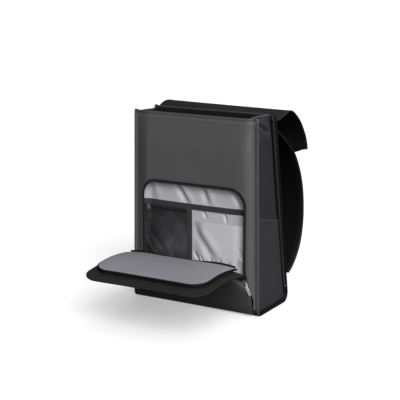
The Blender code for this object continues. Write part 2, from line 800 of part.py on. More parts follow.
def build_zip_pull(word, spot, tilt):
    """A slider with its back at spot, and its puller hanging from it, both turned by tilt about Y."""
    mount = bpy.data.objects.new(word + "_zip_mount", None)
    mount.location = spot
    mount.rotation_euler = (0.0, tilt, 0.0)
    backpack.objects.link(mount)
    axis_y = -SLIDER_THICKNESS - BRIDGE_RISE / 2
    bridge_length = SLIDER_LENGTH - BRIDGE_WIRE
    rise = BRIDGE_RISE + BRIDGE_WIRE
    slider = add_block(word + "_zip_slider", metal_finish, (SLIDER_WIDTH, SLIDER_THICKNESS, SLIDER_LENGTH),
                       (0.0, -SLIDER_THICKNESS / 2, 0.0), SLIDER_ROUNDING)
    bridge = add_block(word + "_bridge", metal_finish, (BRIDGE_WIRE, rise + 2 * GAP, bridge_length),
                       (0.0, -SLIDER_THICKNESS - rise / 2 + GAP, 0.0), 0.0)
    window = add_block(word + "_bridge_window", metal_finish,
                       (BRIDGE_WIRE * 3, BRIDGE_RISE, bridge_length - 2 * BRIDGE_WIRE),
                       (0.0, axis_y - GAP / 2, 0.0), 0.0)
    combine(bridge, window, "DIFFERENCE")
    combine(slider, bridge, "UNION")

    puller = add_block(word + "_zip_puller", metal_finish, (PULLER_WIDTH, PULLER_THICKNESS, PULLER_LENGTH),
                       (0.0, axis_y, 0.0), 0.0)
    top = PULLER_THICKNESS / 2
    for corner in puller.data.vertices:
        corner.co.z += top - PULLER_LENGTH / 2
    slot_length = bridge_length / 2 + 2 * BRIDGE_WIRE
    slot = add_block(word + "_puller_slot", metal_finish,
                     (PULLER_WIDTH - 2 * PULLER_THICKNESS, PULLER_THICKNESS * 3, slot_length),
                     (0.0, axis_y, -top - slot_length / 2), 0.0)
    combine(puller, slot, "DIFFERENCE")
    for item in (slider, bridge, window, puller, slot):
        item.parent = mount
    backpack.objects.link(slider)
    backpack.objects.link(puller)


# The row of the flap that the front slider rests beside
FRONT_SLIDER_ROW = 5


def build_zip_pulls():
    height = BAND_HEIGHT - GAP - SLIDER_LENGTH / 2
    place = MESH_SLIDER_INSET - OPENING_WIDTH / 2
    left = place - SLIDER_WIDTH / 2
    face = min(lining_face(left, height - SLIDER_LENGTH / 2), lining_face(left, BAND_HEIGHT))
    build_zip_pull("mesh", (place, face - LINING - 4 * GAP, height), MESH_PULLER_TILT)
    section = flap_section(FRONT_SLIDER_ROW / len(FLAP_ROWS))
    inner = section[4] + 3 * GAP
    lean = abs(FRONT_PULLER_TILT)
    x = inner + SLIDER_WIDTH / 2 * math.cos(lean) + SLIDER_LENGTH / 2 * math.sin(lean)
    tape = opening_half_width(FRONT_SLIDER_HEIGHT) - ZIP_TAPE - ZIP_SEAM
    y = FRONT - front_bulge(tape, FRONT_SLIDER_HEIGHT)
    build_zip_pull("front", (x, y, FRONT_SLIDER_HEIGHT), FRONT_PULLER_TILT)


clear_scene()
backpack = new_collection("business_backpack")
cutters = new_collection("cutters")
front_finish = new_finish("front_fabric", (0.080, 0.080, 0.083), 0.55)
shell_finish = new_finish("shell_fabric", (0.045, 0.045, 0.050), 0.60)
gusset_finish = new_finish("gusset_fabric", (0.033, 0.033, 0.038), 0.60)
side_finish = new_finish("side_pocket_fabric", (0.042, 0.041, 0.048), 0.60)
piping_finish = new_finish("piping", (0.090, 0.090, 0.092), 0.50)
band_finish = new_finish("band", (0.025, 0.025, 0.028), 0.70)
lining_finish = new_finish("lining", (0.430, 0.430, 0.460), 0.60)
flap_lining_finish = new_finish("flap_lining", (0.230, 0.225, 0.250), 0.60)
mesh_finish = new_finish("mesh", (0.020, 0.020, 0.022), 0.80)
lid_finish = new_finish("lid_lining", (0.065, 0.065, 0.078), 0.60)
strap_finish = new_finish("strap_mesh", (0.012, 0.012, 0.014), 0.80)
webbing_finish = new_finish("webbing", (0.015, 0.015, 0.017), 0.70)
buckle_finish = new_finish("buckle", (0.012, 0.012, 0.013), 0.40)
metal_finish = new_finish("slider_metal", (0.060, 0.060, 0.065), 0.30, 1.0)
build_base_panel()
build_back_panel()
build_front_panel()
build_opening_zip_tape()
build_pocket_lining()
build_organiser()
build_pocket_flap()
build_flap_lining()
build_flap_zip_band()
build_main_lid()
for side, word in ((-1, "left"), (1, "right")):
    build_side(side, word)
    build_piping(side, word)
    build_strap(side, word)
build_zip_pulls()
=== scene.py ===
import math

import bpy
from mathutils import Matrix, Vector, noise


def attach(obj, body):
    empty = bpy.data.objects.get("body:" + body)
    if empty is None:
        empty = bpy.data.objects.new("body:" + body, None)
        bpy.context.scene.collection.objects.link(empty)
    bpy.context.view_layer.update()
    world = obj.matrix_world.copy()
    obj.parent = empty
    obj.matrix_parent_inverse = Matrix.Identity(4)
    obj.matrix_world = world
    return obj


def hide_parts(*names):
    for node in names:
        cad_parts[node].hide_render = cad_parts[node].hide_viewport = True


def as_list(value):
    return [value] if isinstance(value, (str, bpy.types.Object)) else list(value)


# A business backpack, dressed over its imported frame: lid thrown back, front pocket let down.
# Metres, +Z up, the front faces -Y.
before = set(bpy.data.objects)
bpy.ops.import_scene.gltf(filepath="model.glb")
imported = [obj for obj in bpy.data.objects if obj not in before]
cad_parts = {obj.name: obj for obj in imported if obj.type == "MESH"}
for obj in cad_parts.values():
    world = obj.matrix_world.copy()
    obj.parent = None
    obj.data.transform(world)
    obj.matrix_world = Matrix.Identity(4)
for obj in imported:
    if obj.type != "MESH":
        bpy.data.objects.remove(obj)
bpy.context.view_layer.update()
print("frame loaded")

bag = {
    "height": 0.410,
    "topWidth": 0.294,
    "baseWidth": 0.306,
    "topDepth": 0.0815,
    "baseDepth": 0.1375,
    "frontRoll": 0.012,
    "frontLip": 0.004,
    "backRoll": 0.020,
    "backLip": 0.012,
    "bulge": 0.011,
    "hemBulge": 0.006,
    "cloth": 0.002,
    "lining": 0.0015,
    "backPad": 0.010,
    "gap": 0.0003,
    "piping": 0.0038,
    "flange": 0.006,
    "slackStart": 0.79,
    "hemReach": 0.075,
}
frontFace = -bag["baseDepth"] / 2
backFoot = bag["baseDepth"] / 2
gap = bag["gap"]
up = Vector((0, 0, 1))
forward = Vector((0, -1, 0))


def mix(low, high, share):
    return low + (high - low) * share


def ease(share):
    share = min(max(share, 0.0), 1.0)
    return share * share * (3.0 - 2.0 * share)


def readRow(rows, place):  # a smooth curve through a table's rows
    place = min(max(place, 0.0), len(rows) - 1.0)
    low = min(int(place), len(rows) - 2)
    share = place - low
    square = share * share
    cube = square * share
    values = []
    for column in range(len(rows[0])):
        before = rows[max(low - 1, 0)][column]
        start = rows[low][column]
        end = rows[low + 1][column]
        after = rows[min(low + 2, len(rows) - 1)][column]
        values.append(
            (2 * cube - 3 * square + 1) * start
            + (cube - 2 * square + share) * (end - before) / 2
            + (3 * square - 2 * cube) * end
            + (cube - square) * (after - start) / 2
        )
    return values


def halfWidth(z):
    return mix(bag["baseWidth"], bag["topWidth"], z / bag["height"]) / 2 - bag["piping"] - gap


def backFace(z):
    share = max(z - bag["backRoll"], 0.0) / (bag["height"] - bag["backRoll"])
    return mix(backFoot, frontFace + bag["topDepth"], share)


def frontBulge(x, z, firmness=16):
    share = abs(x) / (halfWidth(z) - bag["flange"] - bag["cloth"])
    if share >= 1.0:
        return 0.0
    bulge = mix(bag["hemBulge"], bag["bulge"], ease((bag["height"] - z) / bag["hemReach"]))
    if x < 0.0 and firmness > 8:  # the left edge slopes back
        slope = max(share - bag["slackStart"], 0.0) / (1.0 - bag["slackStart"])
        return bulge * (1.0 - slope ** 1.25)
    return bulge * (1.0 - share ** firmness)


def ripple(x, z, size, seed):  # slow unevenness of hanging cloth, -1 to 1
    return noise.noise(Vector((x / size, z / size, seed)))


def foldDepth(x, z, folds):  # how far creases lift a spot: start, end, width, rise
    depth = 0.0
    for start, end, width, rise in folds:
        runX = end[0] - start[0]
        runZ = end[1] - start[1]
        along = ((x - start[0]) * runX + (z - start[1]) * runZ) / (runX * runX + runZ * runZ)
        near = min(max(along, 0.0), 1.0)
        away = math.hypot(x - start[0] - runX * near, z - start[1] - runZ * near)
        depth += rise * math.exp(-((away / width) ** 2)) * (0.35 + 0.65 * math.sin(math.pi * near))
    return depth


# Shared mesh tools
def finishMesh(name, points, faces, cloth, finishes, body):
    mesh = bpy.data.meshes.new(name)
    mesh.from_pydata(points, [], faces)
    layer = mesh.uv_layers.new(name="cloth")
    for loop in mesh.loops:
        layer.data[loop.index].uv = cloth[loop.vertex_index]
    mesh.shade_smooth()
    for finish in finishes:
        mesh.materials.append(finish)
    item = bpy.data.objects.new(name, mesh)
    bpy.context.scene.collection.objects.link(item)
    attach(item, body)
    return item


def makeSheet(name, grid, place, size, thickness, finishes, body="bag", edge=0.4):
    columns, rows = grid
    points = []
    cloth = []
    for row in range(rows + 1):
        for column in range(columns + 1):
            u = column / columns
            v = row / rows
            points.append(place(u, v))
            cloth.append((u * size[0], v * size[1]))
    faces = []
    for row in range(rows):
        for column in range(columns):
            first = row * (columns + 1) + column
            faces.append((first, first + 1, first + columns + 2, first + columns + 1))
    item = finishMesh(name, points, faces, cloth, finishes, body)
    solid = item.modifiers.new("thickness", "SOLIDIFY")
    solid.thickness = thickness
    solid.offset = -1.0
    solid.use_even_offset = True
    if len(finishes) > 1:
        solid.material_offset = 1
        solid.material_offset_rim = len(finishes) - 1
    if edge:
        soft = item.modifiers.new("soft edge", "BEVEL")
        soft.width = thickness * edge
        soft.segments = 2
        soft.limit_method = "ANGLE"
        soft.angle_limit = math.radians(50)
    return item


def sweep(name, stations, section, finishes, body="bag"):  # stations: point, two axes
    count = len(section)
    points = []
    cloth = []
    travel = 0.0
    for step, (point, across, rise) in enumerate(stations):
        if step:
            travel += (point - stations[step - 1][0]).length
        around = 0.0
        for corner in range(count):
            a, b = section[corner]
            if corner:
                around += math.hypot(a - section[corner - 1][0], b - section[corner - 1][1])
            points.append(point + across * a + rise * b)
            cloth.append((around, travel))
    faces = []
    for step in range(len(stations) - 1):
        for corner in range(count):
            first = step * count + corner
            second = step * count + (corner + 1) % count
            faces.append((first, second, second + count, first + count))
    faces.append(tuple(range(count - 1, -1, -1)))
    faces.append(tuple(range(len(points) - count, len(points))))
    return finishMesh(name, points, faces, cloth, finishes, body)


def stationsAlong(points, rise):  # a frame at each point, its second axis near rise
    stations = []
    for step, point in enumerate(points):
        before = points[max(step - 1, 0)]
        after = points[min(step + 1, len(points) - 1)]
        along = (after - before).normalized()
        toward = rise[step] if isinstance(rise, list) else rise
        across = along.cross(toward).normalized()
        stations.append((point, across, across.cross(along).normalized()))
    return stations


def roundSection(radius, sides=10, flat=1.0):
    section = []
    for step in range(sides):
        angle = 2 * math.pi * step / sides
        section.append((radius * math.cos(angle), radius * flat * math.sin(angle)))
    return section


def beadLine(name, points, rise, bead, finish, crosswise=False, body="bag"):
    # stitches or zip teeth along a line: bead is pitch, length, width, height
    pitch, length, width, height = bead
    spots = []
    travel = 0.0
    due = pitch / 2
    for step in range(len(points) - 1):
        start = points[step]
        run = (points[step + 1] - start).length
        while due <= travel + run:
            share = (due - travel) / run
            toward = rise[step] if isinstance(rise, list) else rise
            spots.append((start.lerp(points[step + 1], share), (points[step + 1] - start) / run, toward))
            due += pitch
        travel += run
    verts = []
    cloth = []
    faces = []
    rings = ((-1.0, 0.35), (-0.62, 1.0), (0.62, 1.0), (1.0, 0.35))
    for spot, along, toward in spots:
        across = along.cross(toward).normalized()
        lift = across.cross(along).normalized()
        if crosswise:
            along, across = across, along
        base = len(verts)
        for place, swell in rings:
            for side in range(6):
                angle = math.pi * side / 3
                offset = across * (math.cos(angle) * width / 2 * swell)
                offset += lift * (math.sin(angle) * height / 2 * swell)
                verts.append(spot + along * (place * length / 2) + offset)
                cloth.append((side * width, place * length))
        for ring in range(3):
            for side in range(6):
                first = base + ring * 6 + side
                second = base + ring * 6 + (side + 1) % 6
                faces.append((first, first + 6, second + 6, second))
        faces.append(tuple(base + side for side in range(6)))
        faces.append(tuple(base + 23 - side for side in range(6)))
    return finishMesh(name, verts, faces, cloth, [finish], body)


def linePoints(steps, spot):
    return [spot(step / steps) for step in range(steps + 1)]


# Effects that several finishes share
def newGroup(name, inputs, outputs):
    group = bpy.data.node_groups.new(name, "ShaderNodeTree")
    for label, kind, value in inputs:
        socket = group.interface.new_socket(name=label, in_out="INPUT", socket_type=kind)
        if kind == "NodeSocketFloat":
            socket.default_value = value
    for label in outputs:
        group.interface.new_socket(name=label, in_out="OUTPUT", socket_type="NodeSocketFloat")
    start = group.nodes.new("NodeGroupInput")
    end = group.nodes.new("NodeGroupOutput")
    return group, start, end


def doMath(tree, operation, first, second=None, third=None, clamp=False):
    node = tree.nodes.new("ShaderNodeMath")
    node.operation = operation
    node.use_clamp = clamp
    for socket, value in zip(node.inputs, (first, second, third)):
        if value is None:
            continue
        if isinstance(value, (int, float)):
            socket.default_value = value
        else:
            tree.links.new(value, socket)
    return node.outputs[0]


def makeWeaveGroup():  # crossed threads: bumps where warp and weft pass over each other
    group, start, end = newGroup(
        "wovenThreads",
        [("Place", "NodeSocketVector", None), ("Pitch", "NodeSocketFloat", 0.001),
         ("Slub", "NodeSocketFloat", 0.3)],
        ["Height"],
    )
    parts = group.nodes.new("ShaderNodeSeparateXYZ")
    group.links.new(start.outputs["Place"], parts.inputs[0])
    drift = group.nodes.new("ShaderNodeTexNoise")
    drift.inputs["Scale"].default_value = 260
    group.links.new(start.outputs["Place"], drift.inputs["Vector"])
    turn = doMath(group, "DIVIDE", math.pi, start.outputs["Pitch"])
    warp = doMath(group, "SINE", doMath(group, "MULTIPLY", parts.outputs[0], turn))
    weft = doMath(group, "SINE", doMath(group, "MULTIPLY", parts.outputs[1], turn))
    crossing = doMath(group, "MULTIPLY", warp, weft)
    crossing = doMath(group, "MULTIPLY_ADD", crossing, 0.5, 0.5)
    slub = doMath(group, "MULTIPLY", drift.outputs[0], start.outputs["Slub"])
    group.links.new(doMath(group, "ADD", crossing, slub), end.inputs["Height"])
    return group


def makeShadeGroup():  # uneven dye, rub marks and dust, as a mask about 0.5
    group, start, end = newGroup(
        "clothShade",
        [("Place", "NodeSocketVector", None), ("Patch", "NodeSocketFloat", 14.0)],
        ["Shade", "Grain"],
    )
    patch = group.nodes.new("ShaderNodeTexNoise")
    patch.inputs["Detail"].default_value = 3
    group.links.new(start.outputs["Place"], patch.inputs["Vector"])
    group.links.new(start.outputs["Patch"], patch.inputs["Scale"])
    grain = group.nodes.new("ShaderNodeTexNoise")
    grain.inputs["Scale"].default_value = 900
    grain.inputs["Detail"].default_value = 2
    group.links.new(start.outputs["Place"], grain.inputs["Vector"])
    group.links.new(patch.outputs[0], end.inputs["Shade"])
    group.links.new(grain.outputs[0], end.inputs["Grain"])
    return group


def makeWearGroup():  # lighter where cloth is rubbed along its edges and folds
    group, start, end = newGroup("edgeRub", [("Reach", "NodeSocketFloat", 0.5)], ["Rub"])
    shape = group.nodes.new("ShaderNodeNewGeometry")
    low = doMath(group, "SUBTRACT", shape.outputs["Pointiness"], 0.5)
    rub = doMath(group, "MULTIPLY", low, doMath(group, "MULTIPLY", start.outputs["Reach"], 20.0), clamp=True)
    group.links.new(rub, end.inputs["Rub"])
    return group


weaveGroup = makeWeaveGroup()
shadeGroup = makeShadeGroup()
wearGroup = makeWearGroup()


def placeGroup(tree, group, **values):
    node = tree.nodes.new("ShaderNodeGroup")
    node.node_tree = group
    for label, value in values.items():
        if isinstance(value, (int, float)):
            node.inputs[label].default_value = value
        else:
            tree.links.new(value, node.inputs[label])
    return node


def mixColour(tree, share, low, high):
    node = tree.nodes.new("ShaderNodeMix")
    node.data_type = "RGBA"
    node.inputs["Factor"].default_value = 0.5
    for socket, value in ((node.inputs[0], share), (node.inputs[6], low), (node.inputs[7], high)):
        if isinstance(value, tuple):
            socket.default_value = (*value, 1.0)
        elif isinstance(value, (int, float)):
            socket.default_value = value
        else:
            tree.links.new(value, socket)
    return node.outputs[2]


def startFinish(name, settings):
    finish = bpy.data.materials.new(name)
    finish.use_nodes = True
    shader = finish.node_tree.nodes["Principled BSDF"]
    shader.inputs["Roughness"].default_value = settings["roughness"]
    shader.inputs["Metallic"].default_value = settings.get("metallic", 0.0)
    shader.inputs["Specular IOR Level"].default_value = settings.get("shine", 0.5)
    shader.inputs["Sheen Weight"].default_value = settings.get("sheen", 0.0)
    shader.inputs["Sheen Roughness"].default_value = 0.45
    return finish, finish.node_tree, shader


def clothFinish(name, settings):  # woven or satin cloth
    finish, tree, shader = startFinish(name, settings)
    place = tree.nodes.new("ShaderNodeTexCoord")
    weave = placeGroup(tree, weaveGroup, Place=place.outputs["UV"], Pitch=settings["pitch"], Slub=0.35)
    shade = placeGroup(tree, shadeGroup, Place=place.outputs["Object"], Patch=settings.get("patch", 14.0))
    wear = placeGroup(tree, wearGroup, Reach=settings.get("rub", 0.5))
    colour = settings["colour"]
    spread = settings.get("spread", 0.16)
    dark = tuple(part * (1 - spread) for part in colour)
    light = tuple(part * (1 + spread) for part in colour)
    base = mixColour(tree, shade.outputs["Shade"], dark, light)
    thread = doMath(tree, "MULTIPLY", weave.outputs["Height"], settings.get("thread", 0.35))
    base = mixColour(tree, thread, base, tuple(part * 0.55 for part in colour))
    rubbed = tuple(min(1.0, part * 1.5 + 0.01) for part in colour)
    base = mixColour(tree, doMath(tree, "MULTIPLY", wear.outputs["Rub"], 0.6), base, rubbed)
    tree.links.new(base, shader.inputs["Base Color"])
    rough = doMath(tree, "MULTIPLY_ADD", shade.outputs["Grain"], 0.16, settings["roughness"] - 0.08)
    tree.links.new(rough, shader.inputs["Roughness"])
    bump = tree.nodes.new("ShaderNodeBump")
    bump.inputs["Strength"].default_value = settings.get("relief", 0.35)
    bump.inputs["Distance"].default_value = settings["pitch"] * 0.35
    tree.links.new(weave.outputs["Height"], bump.inputs["Height"])
    tree.links.new(bump.outputs[0], shader.inputs["Normal"])
    return finish


def hardFinish(name, settings):  # moulded plastic or enamelled metal
    finish, tree, shader = startFinish(name, settings)
    place = tree.nodes.new("ShaderNodeTexCoord")
    shade = placeGroup(tree, shadeGroup, Place=place.outputs["Object"], Patch=60.0)
    wear = placeGroup(tree, wearGroup, Reach=settings.get("rub", 1.0))
    colour = settings["colour"]
    base = mixColour(tree, shade.outputs["Shade"], tuple(part * 0.8 for part in colour), colour)
    base = mixColour(tree, wear.outputs["Rub"], base, settings["worn"])
    tree.links.new(base, shader.inputs["Base Color"])
    rough = doMath(tree, "MULTIPLY_ADD", shade.outputs["Grain"], 0.2, settings["roughness"] - 0.1)
    tree.links.new(rough, shader.inputs["Roughness"])
    bump = tree.nodes.new("ShaderNodeBump")
    bump.inputs["Strength"].default_value = 0.15
    bump.inputs["Distance"].default_value = 0.0002
    tree.links.new(shade.outputs["Grain"], bump.inputs["Height"])
    tree.links.new(bump.outputs[0], shader.inputs["Normal"])
    return finish


def netFinish(name, settings):  # open knitted mesh; its holes let what lies behind show
    finish, tree, shader = startFinish(name, settings)
    place = tree.nodes.new("ShaderNodeTexCoord")
    parts = tree.nodes.new("ShaderNodeSeparateXYZ")
    tree.links.new(place.outputs["UV"], parts.inputs[0])
    turn = math.pi / settings["pitch"]
    rise = doMath(tree, "ADD", parts.outputs[0], parts.outputs[1])
    fall = doMath(tree, "SUBTRACT", parts.outputs[0], parts.outputs[1])
    rise = doMath(tree, "SINE", doMath(tree, "MULTIPLY", rise, turn))
    fall = doMath(tree, "SINE", doMath(tree, "MULTIPLY", fall, turn))
    cell = doMath(tree, "ABSOLUTE", doMath(tree, "MULTIPLY", rise, fall))
    shade = placeGroup(tree, shadeGroup, Place=place.outputs["Object"], Patch=settings["patch"])
    away = tree.nodes.new("ShaderNodeVectorMath")
    away.operation = "DISTANCE"
    tree.links.new(place.outputs["UV"], away.inputs[0])
    away.inputs[1].default_value = (*settings.get("middle", (0.0, 0.0)), 0.0)
    far = doMath(tree, "MULTIPLY", away.outputs["Value"], settings.get("closing", 0.0))
    stretch = doMath(tree, "MULTIPLY_ADD", shade.outputs["Shade"], -settings["give"], settings["open"])
    stretch = doMath(tree, "ADD", stretch, far)
    hole = doMath(tree, "MULTIPLY", doMath(tree, "SUBTRACT", cell, stretch), 6.0, clamp=True)
    solid = doMath(tree, "MULTIPLY_ADD", hole, -settings["clear"], 1.0)
    tree.links.new(solid, shader.inputs["Alpha"])
    colour = settings["colour"]
    base = mixColour(tree, cell, tuple(part * 1.6 for part in colour), tuple(part * 0.6 for part in colour))
    tree.links.new(base, shader.inputs["Base Color"])
    bump = tree.nodes.new("ShaderNodeBump")
    bump.inputs["Strength"].default_value = 0.6
    bump.inputs["Distance"].default_value = 0.0005
    bump.invert = True
    tree.links.new(cell, bump.inputs["Height"])
    tree.links.new(bump.outputs[0], shader.inputs["Normal"])
    return finish


# Finishes
threadFinish = clothFinish("stitchThread", {
    "colour": (0.014, 0.014, 0.015), "roughness": 0.6, "pitch": 0.0005, "shine": 0.3,
})
frontCloth = clothFinish("frontCloth", {
    "colour": (0.066, 0.066, 0.0665), "roughness": 0.45, "pitch": 0.0009, "spread": 0.07, "shine": 0.4,
})
shellCloth = clothFinish("shellCloth", {
    "colour": (0.012, 0.012, 0.013), "roughness": 0.6, "pitch": 0.0009, "shine": 0.3,
})
insideCloth = clothFinish("insideCloth", {
    "colour": (0.006, 0.006, 0.0065), "roughness": 0.75, "pitch": 0.0008, "shine": 0.15,
})
gussetCloth = clothFinish("gussetCloth", {
    "colour": (0.0215, 0.0210, 0.0238), "roughness": 0.48, "pitch": 0.0009, "spread": 0.12, "shine": 0.3,
})
sideCloth = clothFinish("sidePocketCloth", {
    "colour": (0.0290, 0.0279, 0.0335), "roughness": 0.50, "pitch": 0.0009, "spread": 0.10, "shine": 0.3,
})
pipingCloth = clothFinish("pipingCloth", {
    "colour": (0.060, 0.060, 0.061), "roughness": 0.42, "pitch": 0.0006, "shine": 0.4,
})
tapeCloth = clothFinish("tapeCloth", {
    "colour": (0.007, 0.007, 0.0075), "roughness": 0.7, "pitch": 0.0006, "shine": 0.2,
})
bandCloth = clothFinish("bandCloth", {
    "colour": (0.030, 0.030, 0.031), "roughness": 0.7, "pitch": 0.0011, "relief": 0.7, "shine": 0.2,
})
# liningCloth, slipCloth and flapLiningCloth are one lining fabric in three tones: the slip pocket's copy is lighter as
# painted light, the pocket lining's a little darker and the flap lining's less than half as bright, as painted shade
liningCloth = clothFinish("liningCloth", {
    "colour": (0.350, 0.346, 0.368), "roughness": 0.42, "pitch": 0.0004, "spread": 0.05, "thread": 0.10,
    "relief": 0.15, "rub": 0.2,
})
slipCloth = clothFinish("slipCloth", {
    "colour": (0.390, 0.387, 0.402), "roughness": 0.42, "pitch": 0.0004, "spread": 0.05, "thread": 0.10,
    "relief": 0.15, "rub": 0.2,
})
flapLiningCloth = clothFinish("flapLiningCloth", {
    "colour": (0.160, 0.157, 0.174), "roughness": 0.5, "pitch": 0.0004, "spread": 0.05, "thread": 0.10,
    "relief": 0.15, "rub": 0.2,
})
lidLiningCloth = clothFinish("lidLiningCloth", {
    "colour": (0.0062, 0.0062, 0.0073), "roughness": 0.5, "pitch": 0.0005, "spread": 0.10, "relief": 0.2, "shine": 0.1,
})
lidShellCloth = clothFinish("lidShellCloth", {
    "colour": (0.0045, 0.0045, 0.0048), "roughness": 0.6, "pitch": 0.0009, "shine": 0.2,
})
strapCloth = netFinish("strapNet", {
    "colour": (0.0018, 0.0018, 0.0020), "roughness": 0.75, "pitch": 0.0026, "patch": 30.0, "give": 0.1,
    "open": 0.7, "clear": 0.0, "shine": 0.06,
})
webbingCloth = clothFinish("webbingCloth", {
    "colour": (0.005, 0.005, 0.0055), "roughness": 0.6, "pitch": 0.0016, "relief": 0.9, "shine": 0.2,
})
netCloth = netFinish("pocketNet", {
    "colour": (0.010, 0.010, 0.011), "roughness": 0.6, "pitch": 0.0064, "patch": 30.0, "give": 0.6,
    "open": 0.58, "clear": 1.0, "shine": 0.3, "middle": (0.064, 0.105), "closing": 8.0,
})
zipNylon = hardFinish("zipNylon", {
    "colour": (0.008, 0.008, 0.0085), "worn": (0.02, 0.02, 0.02), "roughness": 0.45, "shine": 0.3,
})
# near-black cloth: on the piping along the base and back, on the back piping loops and on the tube inside the side
# flanges it is painted shade, darker than the same piping at the front; on the flap lining's bindings it is their own
# colour
edgeCloth = clothFinish("edgeCloth", {
    "colour": (0.0034, 0.0034, 0.0038), "roughness": 0.55, "pitch": 0.0006, "shine": 0.15,
})
buckleNylon = hardFinish("buckleNylon", {"colour": (0.010, 0.010, 0.011), "worn": (0.04, 0.04, 0.04), "roughness": 0.4})
sliderMetal = hardFinish("sliderMetal", {
    "colour": (0.16, 0.16, 0.165), "worn": (0.3, 0.3, 0.3), "roughness": 0.35, "metallic": 0.5, "rub": 0.1,
})
# light grey, far lighter than the dark puller itself, so the wire's two legs read as painted glints
pullerMetal = hardFinish("pullerMetal", {
    "colour": (0.75, 0.75, 0.76), "worn": (0.9, 0.9, 0.9), "roughness": 0.35, "metallic": 0.3, "rub": 0.3,
})
print("finishes ready")

# Front panel: an arch round the pocket opening
opening = {
    "width": 0.2525, "top": 0.268, "corner": 0.038, "sideStretch": 0.5, "cornerStretch": 0.2,
    "foot": 0.0163, "flareHeight": 0.113 * 0.85, "footHalf": 0.147 * 0.956,
    "tape": 0.0045, "seam": 0.0014,
}


def openingHalf(z):
    flare = max(0.0, 1.0 - z / opening["flareHeight"])
    return mix(opening["width"] / 2, opening["footHalf"], min(1.0, 1.6 * flare))


def openingOutline(u):
    side = -1 if u <= 0.5 else 1
    share = 2 * u if u <= 0.5 else 2 * (1 - u)
    centreX = opening["width"] / 2 - opening["corner"]
    centreZ = opening["top"] - opening["corner"]
    straight = opening["sideStretch"]
    bend = opening["cornerStretch"]
    if share < straight:
        z = mix(opening["foot"], centreZ, share / straight)
        return Vector((side * openingHalf(z), z))
    share -= straight
    if share < bend:
        angle = math.pi / 2 * share / bend
        x = centreX + opening["corner"] * math.cos(angle)
        return Vector((side * x, centreZ + opening["corner"] * math.sin(angle)))
    share = (share - bend) / (1 - straight - bend)
    return Vector((side * mix(centreX, 0.0, share), opening["top"]))


def panelOutline(u):
    side = -1 if u <= 0.5 else 1
    share = 2 * u if u <= 0.5 else 2 * (1 - u)
    corner = opening["sideStretch"] + opening["cornerStretch"] / 2
    if share <= corner:
        z = mix(opening["foot"], bag["height"], share / corner)
        return Vector((side * halfWidth(z), z))
    share = (share - corner) / (1 - corner)
    return Vector((side * mix(halfWidth(bag["height"]), 0.0, share), bag["height"]))


def openingInset(u, inset):
    step = 0.004
    along = openingOutline(min(u + step, 1.0)) - openingOutline(max(u - step, 0.0))
    along.normalize()
    return openingOutline(u) + Vector((along.y, -along.x)) * inset


frontPanel = {
    "grid": (200, 48), "size": (0.75, 0.12), "sideSeam": 0.0040, "hemSeam": 0.0062, "edgeSeam": 0.0030,
    "groove": 0.0013, "grooveWidth": 0.0015, "slack": 0.0007,
}


def frontRelief(x, z):  # seams sunk into the panel, and its slow unevenness
    sunk = math.exp(-(((halfWidth(z) - abs(x) - frontPanel["sideSeam"]) / frontPanel["grooveWidth"]) ** 2))
    sunk += math.exp(-(((bag["height"] - z - frontPanel["hemSeam"]) / frontPanel["grooveWidth"]) ** 2))
    return frontPanel["slack"] * ripple(x, z, 0.07, 2.0) - frontPanel["groove"] * min(sunk, 1.0)


def frontSpot(x, z, lift=0.0):
    return Vector((x, frontFace - frontBulge(x, z) - frontRelief(x, z) - lift, z))


def buildFrontPanel():
    def place(u, v):
        spot = openingOutline(u).lerp(panelOutline(u), (1 - math.cos(math.pi * v)) / 2)
        return frontSpot(spot.x, spot.y)

    item = makeSheet("frontPanelCloth", frontPanel["grid"], place, frontPanel["size"], bag["cloth"],
                     [frontCloth, insideCloth, frontCloth])
    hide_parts("front_panel")
    thread = (0.0034, 0.0023, 0.0006, 0.0005)
    for side, word in ((-1, "Left"), (1, "Right")):
        line = linePoints(160, lambda share: frontSpot(
            side * (halfWidth(mix(0.02, 0.403, share)) - frontPanel["sideSeam"]), mix(0.02, 0.403, share)))
        beadLine("frontSeamStitches" + word, line, forward, thread, threadFinish)
    hem = bag["height"] - frontPanel["hemSeam"]
    line = linePoints(120, lambda share: frontSpot(mix(-0.139, 0.139, share), hem))
    beadLine("frontHemStitches", line, forward, thread, threadFinish)

    def beside(share):
        spot = openingInset(mix(0.06, 0.94, share), -frontPanel["edgeSeam"])
        return frontSpot(spot.x, spot.y)

    beadLine("openingStitches", linePoints(300, beside), forward, thread, threadFinish)


def buildOpeningZip():
    start = 0.062

    def place(u, v):
        spot = openingInset(mix(start, 1 - start, u), mix(opening["seam"] + opening["tape"], 0.0002, v))
        return Vector((spot.x, frontFace - frontBulge(spot.x, spot.y) + 0.0009, spot.y))

    item = makeSheet("openingZipTape", (200, 3), place, (0.62, 0.006), bag["lining"], [tapeCloth])
    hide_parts("opening_zip_tape")

    def toothSpot(share):
        spot = openingInset(mix(start, 1 - start, share), opening["seam"] + opening["tape"] - 0.0009)
        return Vector((spot.x, frontFace - frontBulge(spot.x, spot.y) + 0.0002, spot.y))

    beadLine("openingZipTeeth", linePoints(300, toothSpot), forward, (0.0013, 0.0026, 0.0008, 0.0012), zipNylon,
             crosswise=True)


buildFrontPanel()
buildOpeningZip()
print("front panel built")

# Base and back
base = {"grid": (60, 60), "size": (0.30, 0.20)}


def arcPoints(centre, radius, start, end, steps):
    points = []
    for step in range(steps + 1):
        angle = math.radians(mix(start, end, step / steps))
        points.append((centre[0] + radius * math.cos(angle), centre[1] + radius * math.sin(angle)))
    return points


